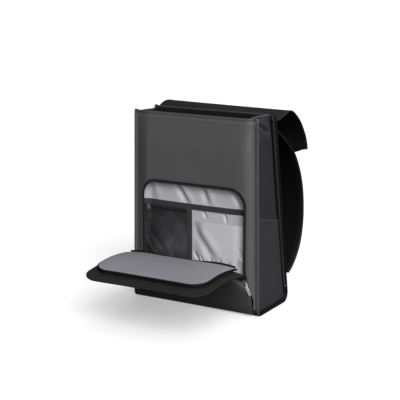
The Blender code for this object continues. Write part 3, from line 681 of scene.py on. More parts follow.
def baseProfile():
    lip = bag["backRoll"] + bag["backLip"]
    points = [(backFace(lip), lip), (backFace(lip - 0.006), lip - 0.006)]
    points += arcPoints((backFoot - bag["backRoll"], bag["backRoll"]), bag["backRoll"], 0, -90, 14)
    first = backFoot - bag["backRoll"]
    last = frontFace + bag["frontRoll"]
    points += [(mix(first, last, step / 12), 0.0) for step in range(1, 12)]
    points += arcPoints((frontFace + bag["frontRoll"], bag["frontRoll"]), bag["frontRoll"], -90, -180, 12)
    points.append((frontFace, bag["frontRoll"] + bag["frontLip"]))
    return points


def buildBase():
    profile = baseProfile()
    rows = len(profile) - 1

    def place(u, v):
        y, z = profile[round(v * rows)]
        return Vector((mix(-1, 1, u) * halfWidth(z), y, z))

    item = makeSheet("baseCloth", (base["grid"][0], rows), place, base["size"], bag["cloth"],
                     [shellCloth, insideCloth, shellCloth])
    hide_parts("base_panel")


back = {
    "grid": (120, 150), "size": (0.30, 0.38), "foot": 0.0326, "channels": (-0.046, 0.046), "channelWidth": 0.006,
    "sink": 0.0040, "padTop": 0.335, "padFoot": 0.060, "swell": 0.0020, "padHalf": 0.118,
}


def backRelief(x, z):  # padded fields between sewn channels
    field = ease((back["padTop"] - z) / 0.02) * ease((z - back["padFoot"]) / 0.02)
    field *= ease((back["padHalf"] - abs(x)) / 0.015)
    sunk = 0.0
    for place in back["channels"]:
        sunk += math.exp(-(((x - place) / back["channelWidth"]) ** 2))
    return field * (back["swell"] - (back["sink"] + back["swell"]) * min(sunk, 1.0)) + 0.0004 * ripple(x, z, 0.05, 9.0)


def buildBack():
    def place(u, v):
        z = mix(bag["height"], back["foot"], v)
        x = mix(-1, 1, u) * halfWidth(z)
        return Vector((x, backFace(z) + backRelief(x, z), z))

    item = makeSheet("backPadCloth", back["grid"], place, back["size"], bag["backPad"] - 0.002,
                     [backNet, insideCloth, shellCloth], edge=0.25)
    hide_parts("back_panel")


backNet = netFinish("backNet", {
    "colour": (0.007, 0.007, 0.0075), "roughness": 0.75, "pitch": 0.0028, "patch": 20.0, "give": 0.1,
    "open": 0.7, "clear": 0.0, "shine": 0.15,
})
buildBase()
buildBack()
print("base and back built")

# Sides: gussets, pockets and piping
side = {
    "pinchDepth": 0.014, "pinchHeight": 0.052, "pocketFront": 0.207, "pocketBack": 0.185, "swell": 0.0015,
    "gussetGrid": (60, 130), "pocketGrid": (50, 70), "hem": 0.009, "binding": 0.0038, "rim": 0.0014,
    "folds": (
        ((-0.034, 0.399), (0.012, 0.364), 0.0036, -0.0085),
        ((-0.048, 0.404), (-0.016, 0.362), 0.0055, 0.0050),
        ((0.004, 0.402), (0.012, 0.372), 0.0045, -0.0030),
        ((0.012, 0.330), (0.018, 0.250), 0.012, 0.0012),
        ((-0.045, 0.330), (-0.038, 0.240), 0.010, -0.0010),
    ),
}


def gussetInset(z, share):
    rise = ease((z - (bag["height"] - side["pinchHeight"])) / side["pinchHeight"])
    if share < 0.5:
        fold = mix(0.55, 1.0, ease(2 * share))
    else:
        fold = mix(1.0, 0.1, ease(2 * share - 1))
    return bag["flange"] + side["pinchDepth"] * rise * fold


def gussetSpan(z):
    inset = 2 * gap
    frontEnd = frontFace + bag["cloth"] + inset
    backEnd = backFace(z) - bag["cloth"] - inset
    padFoot = back["foot"]
    if z >= padFoot:
        backEnd = backFace(z) - bag["backPad"] - inset
    if z < bag["frontRoll"]:
        radius = bag["frontRoll"] - bag["cloth"] - inset
        drop = min(bag["frontRoll"] - z, radius)
        frontEnd = frontFace + bag["frontRoll"] - math.sqrt(radius * radius - drop * drop)
    if z < bag["backRoll"]:
        radius = bag["backRoll"] - bag["cloth"] - inset
        drop = min(bag["backRoll"] - z, radius)
        backEnd = backFoot - bag["backRoll"] + math.sqrt(radius * radius - drop * drop)
    return frontEnd, backEnd


def buildSide(hand, word):
    low = bag["cloth"] + 2 * gap

    def gusset(u, v):
        z = mix(low, bag["height"], v ** 1.25)
        share = u if hand > 0 else 1 - u
        frontEnd, backEnd = gussetSpan(z)
        y = mix(frontEnd, backEnd, share)
        x = halfWidth(z) - gussetInset(z, share) + foldDepth(y, z, side["folds"]) * ease(6 * share) * ease(6 - 6 * share)
        return Vector((hand * x, y, z))

    item = makeSheet("gussetCloth" + word, side["gussetGrid"], gusset, (0.11, 0.41), bag["cloth"],
                     [gussetCloth, insideCloth, gussetCloth])
    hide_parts("side_gusset_" + word.lower())

    def pocketTop(share):
        return mix(side["pocketFront"], side["pocketBack"], share)

    def pocket(u, v):
        share = u if hand > 0 else 1 - u
        z = mix(low, pocketTop(share), v ** 1.2)
        frontEnd, backEnd = gussetSpan(z)
        swell = side["swell"] * ease(4 * share) * ease(4 * (1 - share)) * ease(4 * v)
        hem = 0.0004 * ease((z - pocketTop(share) + side["hem"]) / 0.001)
        y = mix(frontEnd, backEnd, share)
        x = halfWidth(z) - bag["flange"] + gap + bag["cloth"] + swell + hem + 0.0005 * ripple(y, z, 0.04, 5.0)
        return Vector((hand * x, y, z))

    item = makeSheet("sidePocketCloth" + word, side["pocketGrid"], pocket, (0.11, 0.20), bag["cloth"], [sideCloth])
    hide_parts("side_pocket_" + word.lower())

    def hemSpot(share):
        z = pocketTop(share) - side["hem"]
        u = share if hand > 0 else 1 - share
        v = ((z - low) / (pocketTop(share) - low)) ** (1 / 1.2)
        return pocket(u, v)

    beadLine("pocketHemStitches" + word, linePoints(60, hemSpot), Vector((hand, 0, 0)),
             (0.0034, 0.0023, 0.0006, 0.0006), threadFinish)


def pipingLine(hand):
    radius = bag["piping"] / 2
    line = []
    for step in range(60):
        line.append((frontFace + radius, mix(bag["height"] - radius, bag["frontRoll"], step / 60)))
    line += arcPoints((frontFace + bag["frontRoll"], bag["frontRoll"]), bag["frontRoll"] - radius, 180, 270, 10)
    first = frontFace + bag["frontRoll"]
    last = backFoot - bag["backRoll"]
    line += [(mix(first, last, step / 12), radius) for step in range(1, 12)]
    line += arcPoints((last, bag["backRoll"]), bag["backRoll"] - radius, 270, 360, 12)
    for step in range(1, 61):
        z = mix(bag["backRoll"], bag["height"] - radius, step / 60)
        line.append((backFace(z) - radius, z))
    return [Vector((hand * (halfWidth(z) + gap + radius), y, z)) for y, z in line]


def buildPiping(hand, word):
    radius = bag["piping"] / 2
    line = pipingLine(hand)
    turn = 66
    item = sweep("pipingBead" + word, stationsAlong(line[:turn], Vector((hand, 0, 0))), roundSection(radius, 12), [pipingCloth])
    # the piping past the front roll, along the base and up the back, takes the near-black edgeCloth: painted shade on
    # the same piping that is lighter at the front
    sweep("basePipingBead" + word, stationsAlong(line[turn - 1:], Vector((hand, 0, 0))), roundSection(radius, 12), [edgeCloth])
    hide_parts("edge_piping_" + word.lower())


def buildSeams(hand, word):  # a dark bound seam inside the flange, its near-black cloth painted shade in the recess; the rolled hem on the gusset, in the lighter piping cloth as a painted highlight; and the piping's loops at the top, the back one near-black as painted shade
    # side["binding"] is the radius of the near-black tube in the flange's recess, which is painted shade
    inner = side["binding"]
    line = []
    for step in range(70):
        z = mix(0.404, bag["backRoll"], step / 69)
        line.append((backFace(z) - bag["cloth"] - inner, z))
    radius = bag["backRoll"] - bag["cloth"] - inner
    line += arcPoints((backFoot - bag["backRoll"], bag["backRoll"]), radius, 0, -90, 12)
    floorLevel = bag["cloth"] + inner
    first = backFoot - bag["backRoll"]
    last = frontFace + bag["frontRoll"]
    line += [(mix(first, last, step / 20), floorLevel) for step in range(1, 20)]
    line += arcPoints((last, bag["frontRoll"]), bag["frontRoll"] - bag["cloth"] - inner, -90, -165, 8)
    points = [Vector((hand * (halfWidth(z) - inner - 0.0004), y, z)) for y, z in line]
    # near-black tube along the recess: painted shade
    sweep("sideBindingShade" + word, stationsAlong(points, Vector((hand, 0, 0))), roundSection(inner, 10), [edgeCloth])
    rim = []
    top = bag["height"] - 0.0016
    for step in range(50):
        share = mix(0.02, 0.97, step / 49)
        frontEnd, backEnd = gussetSpan(top)
        x = halfWidth(top) - gussetInset(top, share) - bag["cloth"] / 2
        rim.append(Vector((hand * x, mix(frontEnd, backEnd, share), top + 0.0006 * math.sin(9 * share))))
    # the gusset's rolled hem takes the lighter piping cloth rather than the gusset's own, a painted highlight along the
    # top edge
    sweep("gussetRim" + word, stationsAlong(rim, up), roundSection(side["rim"], 10), [pipingCloth])
    radius = bag["piping"] / 2
    outer = halfWidth(bag["height"]) + gap + radius
    # the back loop takes the near-black edgeCloth, painted shade on the same piping that is lighter in the front loop
    for tag, y, turnHalf, drop, finish in (
        ("Front", frontFace + radius, 0.0042, 0.010, pipingCloth),
        ("Back", backFace(bag["height"]) - radius, 0.0050, 0.016, edgeCloth),
    ):
        crown = bag["height"] - 0.0030
        loop = [Vector((outer, y, mix(crown - 0.004, crown, step / 6))) for step in range(6)]
        for step in range(13):
            angle = math.pi * step / 12
            x = outer - turnHalf * (1 - math.cos(angle))
            loop.append(Vector((x, y - 0.0012 * math.sin(angle), crown + 0.0030 * math.sin(angle))))
        for step in range(1, 12):
            share = step / 11
            loop.append(Vector((outer - 2 * turnHalf - 0.001 * share, y + 0.0015 * share, crown - drop * share)))
        loop = [Vector((hand * point.x, point.y, point.z)) for point in loop]
        sweep("pipingLoop" + tag + word, stationsAlong(loop, forward), roundSection(radius * 0.85, 10), [finish])


for hand, word in ((-1, "Left"), (1, "Right")):
    buildSide(hand, word)
    buildPiping(hand, word)
    buildSeams(hand, word)
print("sides built")

# Inside of the front pocket
pocketLining = {
    "margin": 0.008, "depth": 0.011, "slope": 0.030, "grid": (150, 130), "size": (0.268, 0.26),
    "folds": (
        ((-0.0480, 0.264), (-0.0190, 0.2235), 0.0070, -0.0058),
        ((-0.0360, 0.264), (-0.0060, 0.2235), 0.0080, 0.0030),
        ((0.0160, 0.262), (0.0300, 0.2275), 0.0070, -0.0045),
        ((0.0280, 0.262), (0.0440, 0.2275), 0.0080, 0.0024),
        ((0.0860, 0.260), (0.1050, 0.2255), 0.0055, -0.0055),
        ((0.0970, 0.258), (0.1150, 0.2255), 0.0055, 0.0036),
        ((0.0200, 0.2090), (0.0272, 0.1940), 0.0026, -0.0030),
        ((0.0697, 0.2090), (0.0745, 0.1900), 0.0026, -0.0030),
        ((-0.100, 0.262), (-0.090, 0.224), 0.010, 0.0026),
    ),
}
seamHalf = opening["width"] / 2 + pocketLining["margin"]
seamTop = opening["top"] + pocketLining["margin"]


def liningFace(x, z):
    across = ease(min(max(seamHalf - abs(x), 0.0) / pocketLining["slope"], 1.0))
    upward = ease(min(max(seamTop - z, 0.0) / pocketLining["slope"], 1.0))
    slack = frontBulge(x, z, 4)
    return frontFace - slack + bag["cloth"] + gap + pocketLining["depth"] * across * upward


def buildPocketLining():
    def place(u, v):
        x = mix(-seamHalf, seamHalf, u)
        z = mix(opening["foot"], seamTop, v)
        lift = foldDepth(x, z, pocketLining["folds"]) * ease(8 * u) * ease(8 - 8 * u)
        return Vector((x, liningFace(x, z) - lift, z))

    item = makeSheet("pocketLiningCloth", pocketLining["grid"], place, pocketLining["size"], bag["lining"],
                     [liningCloth, insideCloth, liningCloth])
    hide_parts("pocket_lining")


organiser = {
    "bandHeight": 0.2095, "bandWidth": 0.012, "meshTop": 0.2005, "meshSwell": 0.006, "zipWidth": 0.007,
    "bindingPlace": -0.0124, "bindingWidth": 0.0125, "slipTop": 0.188, "slipSwell": 0.007, "foot": 0.030,
    "slipFolds": (
        ((0.0030, 0.1690), (0.0490, 0.1080), 0.0100, -0.0042),
        ((0.0200, 0.1720), (0.0640, 0.1140), 0.0110, 0.0020),
        ((-0.0040, 0.1220), (0.0140, 0.1010), 0.0034, -0.0052),
        ((0.0190, 0.1120), (0.0270, 0.0940), 0.0024, -0.0038),
        ((0.0420, 0.1100), (0.0450, 0.0940), 0.0024, -0.0036),
        ((0.0650, 0.1120), (0.0640, 0.0940), 0.0024, -0.0036),
        ((0.0850, 0.1080), (0.0830, 0.0920), 0.0026, -0.0034),
        ((0.1040, 0.1140), (0.0990, 0.0920), 0.0028, -0.0040),
        ((0.1070, 0.1360), (0.1200, 0.1080), 0.0026, -0.0040),
        ((0.1060, 0.1240), (0.1220, 0.1150), 0.0020, -0.0024),
    ),
    "meshFolds": (
        ((-0.110, 0.155), (-0.070, 0.112), 0.006, -0.0024),
        ((-0.127, 0.140), (-0.102, 0.104), 0.005, 0.0024),
        ((-0.060, 0.190), (-0.030, 0.150), 0.010, 0.0014),
        ((-0.090, 0.112), (-0.080, 0.090), 0.004, -0.0020),
        ((-0.050, 0.116), (-0.044, 0.094), 0.004, -0.0020),
    ),
}


def addOrganiser(name, node, finish, span, foot, top, stand, swell, mouth, grid, thickness, folds=(), sag=0.0):
    def place(u, v):
        x = mix(span[0], span[1], u)
        z = mix(foot, top - sag * math.sin(math.pi * u), v)
        belly = ease(4 * u) * ease(4 * (1 - u)) * ease(5 * v) * mix(1.0, mouth, ease(3 * v - 2))
        lift = foldDepth(x, z, folds) * ease(10 * u) * ease(10 - 10 * u)
        return Vector((x, liningFace(x, z) - stand - swell * belly - lift, z))

    size = (span[1] - span[0], top - foot)
    item = makeSheet(name, grid, place, size, thickness, [finish])
    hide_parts(node)
    return place


def buildOrganiser():
    edge = opening["width"] / 2 - gap
    left = organiser["bindingPlace"] - organiser["bindingWidth"] / 2
    right = organiser["bindingPlace"] + organiser["bindingWidth"] / 2
    thin = bag["lining"] / 2
    seat = thin + gap
    bandTop = organiser["bandHeight"] + organiser["bandWidth"]
    zipFoot = organiser["meshTop"] + gap
    zipTop = organiser["bandHeight"] - gap
    stand = bag["lining"] + gap
    addOrganiser("elasticBandCloth", "elastic_band", bandCloth, (-edge, edge), organiser["bandHeight"],
                 bandTop, stand, 0.0, 0.0, (120, 6), bag["lining"])
    zipPlace = addOrganiser("meshZipTapeCloth", "mesh_zip_tape", tapeCloth, (-edge, left - gap), zipFoot,
                            zipTop, stand, 0.0, 0.0, (60, 4), bag["lining"])
    line = linePoints(80, lambda share: zipPlace(share, 0.55))
    beadLine("meshZipTeeth", line, forward, (0.0012, 0.0024, 0.0008, 0.0010), zipNylon, crosswise=True)
    meshPlace = addOrganiser("meshPocketNet", "mesh_pocket", netCloth, (-edge, left - gap), organiser["foot"],
                             organiser["meshTop"], seat, organiser["meshSwell"], 0.0, (90, 110), thin,
                             organiser["meshFolds"])
    bindingPlace = addOrganiser("meshBindingTape", "mesh_binding", bandCloth, (left, right),
                                organiser["foot"], organiser["bandHeight"] - gap, stand, 0.0, 0.0, (8, 80), bag["lining"])
    slipPlace = addOrganiser("slipPocketCloth", "slip_pocket", slipCloth, (right + gap, edge),
                             organiser["foot"], organiser["slipTop"], seat, organiser["slipSwell"], 1.0, (100, 110),
                             thin, organiser["slipFolds"], sag=0.0015)
    thread = (0.0032, 0.0022, 0.0005, 0.0005)
    hem = 1.0 - 0.0065 / (organiser["slipTop"] - organiser["foot"])
    beadLine("slipHemStitches", linePoints(80, lambda share: slipPlace(share, hem)), forward, thread, liningThread)
    for share in (0.14, 0.86):
        beadLine("bindingStitches" + str(round(share * 100)), linePoints(80, lambda v: bindingPlace(share, v)), forward,
                 thread, threadFinish)
    for height, word in ((0.12, "Low"), (0.88, "High")):
        z = mix(organiser["bandHeight"], bandTop, height)
        line = linePoints(80, lambda share: Vector((mix(-edge, edge, share), liningFace(mix(-edge, edge, share), z) - stand, z)))
        beadLine("bandStitches" + word, line, forward, thread, threadFinish)


liningThread = clothFinish("liningThread", {"colour": (0.30, 0.30, 0.32), "roughness": 0.6, "pitch": 0.0005})
buildPocketLining()
buildOrganiser()
print("pocket inside built")

# Front pocket flap, let down
flap = {
    "width": 0.294, "tuck": 0.009, "reach": 0.222, "height": 0.113, "corner": 0.040, "liningWidth": 0.254,
    "liningCorner": 0.034, "margin": 0.033, "fill": 0.0100, "liningBack": 0.052, "bandStart": 0.014,
    "grid": (110, 150), "size": (0.29, 0.34),
}
# middle forward, middle up, edge forward, edge up, width, as shares of reach, height and half width
flapRows = (
    (0.012, 0.045, 0.000, 0.045, 0.956),
    (0.055, 0.190, 0.000, 0.160, 0.950),
    (0.100, 0.380, 0.000, 0.300, 0.942),
    (0.150, 0.560, 0.000, 0.430, 0.925),
    (0.190, 0.730, 0.000, 0.550, 0.875),
    (0.218, 0.870, 0.005, 0.670, 0.835),
    (0.255, 0.955, 0.085, 0.770, 0.915),
    (0.315, 0.990, 0.210, 0.870, 0.985),
    (0.410, 1.000, 0.370, 0.925, 1.000),
    (0.540, 0.990, 0.530, 0.955, 1.000),
    (0.680, 0.965, 0.680, 0.945, 1.000),
    (0.820, 0.930, 0.820, 0.915, 1.000),
    (1.000, 0.870, 1.000, 0.865, 1.000),
)


def flapSection(v):
    last = len(flapRows) - 2
    bend = v * (last + 2)
    if bend <= last:
        middleOut, middleUp, edgeOut, edgeUp, width = readRow(flapRows, bend)
        return middleOut, middleUp, edgeOut, edgeUp, flap["width"] / 2 * width
    turn = math.pi / 2 * (bend - last) / 2
    share = math.sin(turn)
    start = flapRows[last]
    end = flapRows[last + 1]
    reach = mix(1.0 - flap["corner"] / flap["reach"], 1.0, share)
    half = flap["width"] / 2 - flap["corner"] * (1.0 - math.cos(turn))
    return reach, mix(start[1], end[1], share), reach, mix(start[3], end[3], share), half


def flapSpot(u, v):
    middleOut, middleUp, edgeOut, edgeUp, half = flapSection(v)
    seam = frontBulge(half, edgeUp * flap["height"]) + bag["cloth"] + 2 * gap
    edgeForward = edgeOut * flap["reach"] + seam * (1.0 - ease(edgeOut * 5))
    across = mix(-1, 1, u)
    curl = abs(across) ** 3
    out = mix(middleOut * flap["reach"], edgeForward, curl)
    rise = mix(middleUp, edgeUp, curl ** 1.6)
    tuck = flap["tuck"] * ease(middleOut * 2 - 0.5) * max(-across, 0.0) ** 2
    return Vector((across * half + tuck, frontFace - out, rise * flap["height"]))


def flapHeight(x, out):
    low = 0.35
    high = 1.0
    spot = flapSpot(0.5, low)
    for step in range(16):
        middle = (low + high) / 2
        half = flapSection(middle)[4]
        spot = flapSpot(0.5 + 0.5 * max(-1.0, min(1.0, x / half)), middle)
        if frontFace - spot.y < out:
            low = middle
        else:
            high = middle
    return spot.z


def flapOutline(u, inset, backPlace):  # outline of the flap's lining, x and forward
    half = flap["liningWidth"] / 2 - inset
    corner = flap["liningCorner"] - inset
    tip = flap["reach"] - flap["margin"] - inset
    hand = -1 if u <= 0.5 else 1
    share = 2 * u if u <= 0.5 else 2 * (1 - u)
    if share < 0.4:
        return Vector((hand * half, mix(backPlace, tip - corner, share / 0.4)))
    if share <= 0.7:
        angle = math.pi / 2 * (share - 0.4) / 0.3
        return Vector((hand * (half - corner * (1 - math.cos(angle))), tip - corner * (1 - math.sin(angle))))
    share = (share - 0.7) / 0.3
    return Vector((hand * mix(half - corner, 0.0, share), tip))


def buildFlap():
    def shell(u, v):
        spot = flapSpot(u, v)
        away = ease((v - 0.45) / 0.1)
        spot.z += 0.0006 * ripple(spot.x, spot.y, 0.05, 4.0) * away
        return spot

    item = makeSheet("flapShellCloth", flap["grid"], shell, flap["size"], bag["cloth"],
                     [flapCloth, flapBackCloth, tapeCloth])
    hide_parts("pocket_flap")

    def lining(u, v):
        edge = flapOutline(0.35 * (1 - v), 0.0, flap["liningBack"])
        x = mix(-1, 1, u) * abs(edge.x)
        belly = math.sin(math.pi * u) * math.sin(math.pi * min(v * 1.1, 1.0))
        z = flapHeight(x, edge.y) + flap["fill"] + 0.0014 * belly * (0.6 + ripple(x, edge.y, 0.05, 7.0))
        return Vector((x, frontFace - edge.y, z))

    item = makeSheet("flapLiningCloth", (80, 80), lining, (0.254, 0.137), bag["lining"], [flapLiningCloth])
    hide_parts("flap_lining")

    def band(u, v):
        spot = flapOutline(u, gap, flap["liningBack"] + flap["bandStart"])
        height = flapHeight(spot.x, spot.y)
        low = height + bag["cloth"] + 3 * gap
        high = height + flap["fill"] - bag["lining"] - 2 * gap
        return Vector((spot.x, frontFace - spot.y, mix(low, high, v)))

    rim = []
    for step in range(181):
        spot = flapOutline(step / 180, -0.0012, flap["liningBack"])
        rim.append(Vector((spot.x, frontFace - spot.y, flapHeight(spot.x, spot.y) + flap["fill"] - 0.0022)))
    sweep("flapLiningBinding", stationsAlong(rim, up), roundSection(0.0024, 12), [edgeCloth])
    rear = []
    for step in range(101):
        x = mix(-0.5, 0.5, step / 100) * (flap["liningWidth"] - 0.004)
        z = flapHeight(x, flap["liningBack"]) + flap["fill"] - 0.0005
        rear.append(Vector((x, frontFace - flap["liningBack"] + 0.0016, z)))
    tall = [(a * 0.35, b) for a, b in roundSection(0.0042, 12)]
    sweep("flapRearBinding", stationsAlong(rear, up), tall, [edgeCloth])
    item = makeSheet("flapZipBandTape", (160, 4), band, (0.45, 0.006), bag["lining"], [tapeCloth])
    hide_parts("flap_zip_band")
    teeth = linePoints(260, lambda share: band(share, 0.12))
    out = []
    for step, point in enumerate(teeth):
        before = teeth[max(step - 1, 0)]
        after = teeth[min(step + 1, len(teeth) - 1)]
        along = (after - before).normalized()
        out.append(along.cross(up).normalized() * -1)
    beadLine("flapZipTeeth", teeth, out, (0.0013, 0.0022, 0.0008, 0.0012), zipNylon, crosswise=True)


# flapCloth is the front panel's cloth at about half its tone: painted shade on the let-down flap
flapCloth = clothFinish("flapCloth", {
    "colour": (0.036, 0.036, 0.0368), "roughness": 0.45, "pitch": 0.0009, "spread": 0.07, "shine": 0.3,
})
flapBackCloth = clothFinish("flapBackCloth", {
    "colour": (0.0105, 0.0105, 0.011), "roughness": 0.6, "pitch": 0.0009, "shine": 0.15,
})
buildFlap()
print("flap built")

# Main lid, thrown back
lid = {
    "width": 0.290, "reach": 0.152, "drop": 0.090, "thickness": 0.003, "seam": 0.397, "tongue": 0.35,
    "grid": (120, 110), "size": (0.29, 0.20), "binding": 0.0021,
}
# back, down at the left, down at the right, as shares; the last row is the tongue's in the middle
lidRows = (
    (0.000, 0.130, 0.130),
    (0.100, 0.045, 0.125),
    (0.180, -0.020, 0.090),
    (0.260, -0.050, 0.055),
    (0.340, -0.054, 0.020),
    (0.420, -0.030, 0.000),
    (0.550, 0.065, 0.070),
    (0.740, 0.290, 0.305),
    (0.900, 0.630, 0.638),
    (0.965, 0.840, 0.850),
    (1.000, 1.030, 1.030),
    (1.040, 1.170, 1.170),
)


def lidSpot(u, v):
    across = mix(-1, 1, u)
    tongue = ease((1 - abs(across)) / lid["tongue"])
    out, left, right = readRow(lidRows, v * (len(lidRows) - 2 + tongue))
    y = backFace(lid["seam"]) + gap + out * lid["reach"]
    return Vector((across * lid["width"] / 2, y, bag["height"] - mix(left, right, u) * lid["drop"]))


def buildLid():
    item = makeSheet("lidCloth", lid["grid"], lidSpot, lid["size"], lid["thickness"],
                     [lidLiningCloth, lidShellCloth, lidShellCloth])
    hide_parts("main_lid")
    edge = [lidSpot(0.0, step / 60) for step in range(61)]
    edge += [lidSpot(step / 80, 1.0) for step in range(1, 81)]
    edge += [lidSpot(1.0, 1 - step / 60) for step in range(1, 61)]
    edge = [point + Vector((0, 0, -lid["thickness"] / 2)) for point in edge]
    sweep("lidBinding", stationsAlong(edge, up), roundSection(lid["binding"], 10), [tapeCloth])


buildLid()
print("lid built")

# Shoulder straps
strap = {
    "width": 0.062, "place": 0.099, "thickness": 0.010, "top": 0.374, "reach": 0.1235, "foot": 0.043,
    "border": 0.0075, "stations": 150, "webWidth": 0.025, "webThickness": 0.0018, "webSeam": 0.034,
    "buckleWidth": 0.032, "buckleLength": 0.022, "buckleThickness": 0.0045,
}
# height, back, as shares
strapRows = (
    (1.000, 0.000),
    (1.003, 0.120),
    (0.985, 0.246),
    (0.915, 0.459),
    (0.810, 0.707),
    (0.671, 0.879),
    (0.535, 0.971),
    (0.375, 1.000),
    (0.250, 0.970),
    (0.154, 0.900),
    (0.078, 0.790),
    (0.024, 0.670),
    (0.000, 0.580),
)


def strapSpot(v):
    height, out = readRow(strapRows, v * (len(strapRows) - 1))
    seam = backFace(strap["top"] - strap["thickness"]) + gap
    return Vector((0, mix(seam, backFoot + strap["reach"], out), mix(strap["foot"], strap["top"], height)))


def strapSection():  # a padded middle between flat bound borders
    half = strap["width"] / 2
    border = strap["border"]
    section = []
    for step in range(25):
        a = mix(-half, half, step / 24)
        pad = ease((half - abs(a)) / border - 0.3)
        section.append((a, mix(-0.0034, 0.0, pad)))
    for step in range(25):
        a = mix(half, -half, step / 24)
        pad = ease((half - abs(a)) / border - 0.3)
        section.append((a, mix(-0.0066, -strap["thickness"], pad)))
    return section


def buildStrap(hand, word):
    x = Vector((hand * strap["place"], 0, 0))
    line = [strapSpot(step / strap["stations"]) + x for step in range(strap["stations"] + 1)]
    stations = []
    for step, point in enumerate(line):
        before = line[max(step - 1, 0)]
        after = line[min(step + 1, len(line) - 1)]
        along = (after - before).normalized()
        across = Vector((1, 0, 0))
        stations.append((point, across, across.cross(along).normalized()))
    item = sweep("strapPad" + word, stations, strapSection(), [strapCloth])
    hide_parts("shoulder_strap_" + word.lower())
    for edge, tag in ((-1, "Inner"), (1, "Outer")):
        border = []
        for point, across, rise in stations:
            border.append((point + across * edge * (strap["width"] / 2 - 0.0022) - rise * 0.005, across, rise))
        flat = [(a, b) for a, b in roundSection(0.0030, 12, 0.85)]
        sweep("strapBinding" + word + tag, border, flat, [tapeCloth])


def buildStrapEnd(hand, word):  # a ladder buckle and the webbing to the base
    x = hand * strap["place"]
    foot = strapSpot(1.0)
    along = (foot - strapSpot(0.96)).normalized()
    inward = Vector((0, along.z, -along.y))
    start = foot + inward * (strap["thickness"] / 2) + along * gap
    end = start + along * strap["buckleLength"]
    half = strap["buckleWidth"] / 2
    rail = roundSection(0.0021, 12, 0.95)
    for edge, tag in ((-1, "Inner"), (1, "Outer")):
        shift = Vector((x + edge * (half - 0.0021), 0, 0))
        line = [start.lerp(end, share / 12) + shift for share in range(13)]
        sweep("buckleRail" + tag + word, stationsAlong(line, inward), rail, [buckleNylon])
    for place, tag in ((0.09, "Upper"), (0.52, "Middle"), (0.91, "Lower")):
        middle = start.lerp(end, place)
        line = [middle + Vector((x + mix(-half + 0.002, half - 0.002, share / 12), 0, 0)) for share in range(13)]
        sweep("buckleBar" + tag + word, stationsAlong(line, inward), roundSection(0.0017, 10), [buckleNylon])
    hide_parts("strap_adjuster_" + word.lower())
    seam = Vector((0, backFace(strap["webSeam"]) + gap, strap["webSeam"]))
    leave = end + along * (strap["buckleThickness"] / 4)

    def webbing(u, v):
        spot = leave.lerp(seam, v)
        sag = math.sin(math.pi * v) * 0.06 * (leave - seam).length
        return spot + Vector((x + mix(-0.5, 0.5, u) * strap["webWidth"], 0, -sag))

    length = (leave - seam).length
    item = makeSheet("webbingCloth" + word, (24, 60), webbing, (strap["webWidth"], length), strap["webThickness"],
                     [webbingCloth])
    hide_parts("strap_webbing_" + word.lower())

    def keeper(u, v):  # the webbing's turn round the buckle's middle bar
        angle = math.pi * 2 * v
        spot = start.lerp(end, 0.70) + along * (0.0045 * math.cos(angle)) - inward * (0.0030 * math.sin(angle))
        return spot + Vector((x + mix(-0.5, 0.5, u) * strap["webWidth"], 0, 0))

    item = makeSheet("webbingTurn" + word, (24, 40), keeper, (strap["webWidth"], 0.026), 0.0014, [webbingCloth])


for hand, word in ((-1, "Left"), (1, "Right")):
    buildStrap(hand, word)
    buildStrapEnd(hand, word)
for node in ("mesh_zip_slider", "front_zip_slider"):
    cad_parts[node].data.materials.clear()
    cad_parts[node].data.materials.append(sliderMetal)

# Zip pullers: wire loops on the sliders' bridges
puller = {
    "length": 0.026, "width": 0.0044, "wire": 0.0005, "axis": -0.0042, "gripLength": 0.010,
    # name, node, body, place, turn about Y, finish
    "pulls": (
        ("meshPull", "mesh_zip_puller", "mesh_puller", (-0.112, -0.06783, 0.2042), -15, buckleNylon),
        ("frontPull", "front_zip_puller", "front_puller", (0.128648, -0.077687, 0.0725), -24, pullerMetal),
    ),
}


def buildPuller(name, node, body, place, turn, finish):
    lean = math.radians(turn)
    axisX = Vector((math.cos(lean), 0, -math.sin(lean)))
    axisZ = Vector((math.sin(lean), 0, math.cos(lean)))
    middle = Vector(place) + Vector((0, puller["axis"], 0))
    half = puller["width"] / 2 - puller["wire"]
    path = [(0.0, 0.0), (half * 0.6, 0.0), (half, -half * 0.3)]
    path += [(half, mix(-half * 0.6, -puller["length"] + half * 1.6, step / 20)) for step in range(21)]
    path += [(half * math.cos(math.pi * step / 10), -puller["length"] + half * 1.3 - half * math.sin(math.pi * step / 10))
             for step in range(1, 10)]
    path += [(-half, mix(-puller["length"] + half * 1.6, -half * 0.6, step / 20)) for step in range(21)]
    path += [(-half, -half * 0.3), (-half * 0.6, 0.0), (0.0, 0.0)]
    points = [middle + axisX * a + axisZ * b for a, b in path]
    item = sweep(name + "Wire", stationsAlong(points, forward), roundSection(puller["wire"], 10), [finish], body)
    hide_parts(node)
    ends = (-puller["length"] + 0.0012, -puller["length"] + puller["gripLength"])
    grip = [middle + axisZ * mix(ends[0], ends[1], step / 12) for step in range(13)]
    sweep(name + "Grip", stationsAlong(grip, forward), roundSection(half * 0.8, 12, 0.30), [buckleNylon], body)


for pull in puller["pulls"]:
    buildPuller(*pull)
print("straps built")

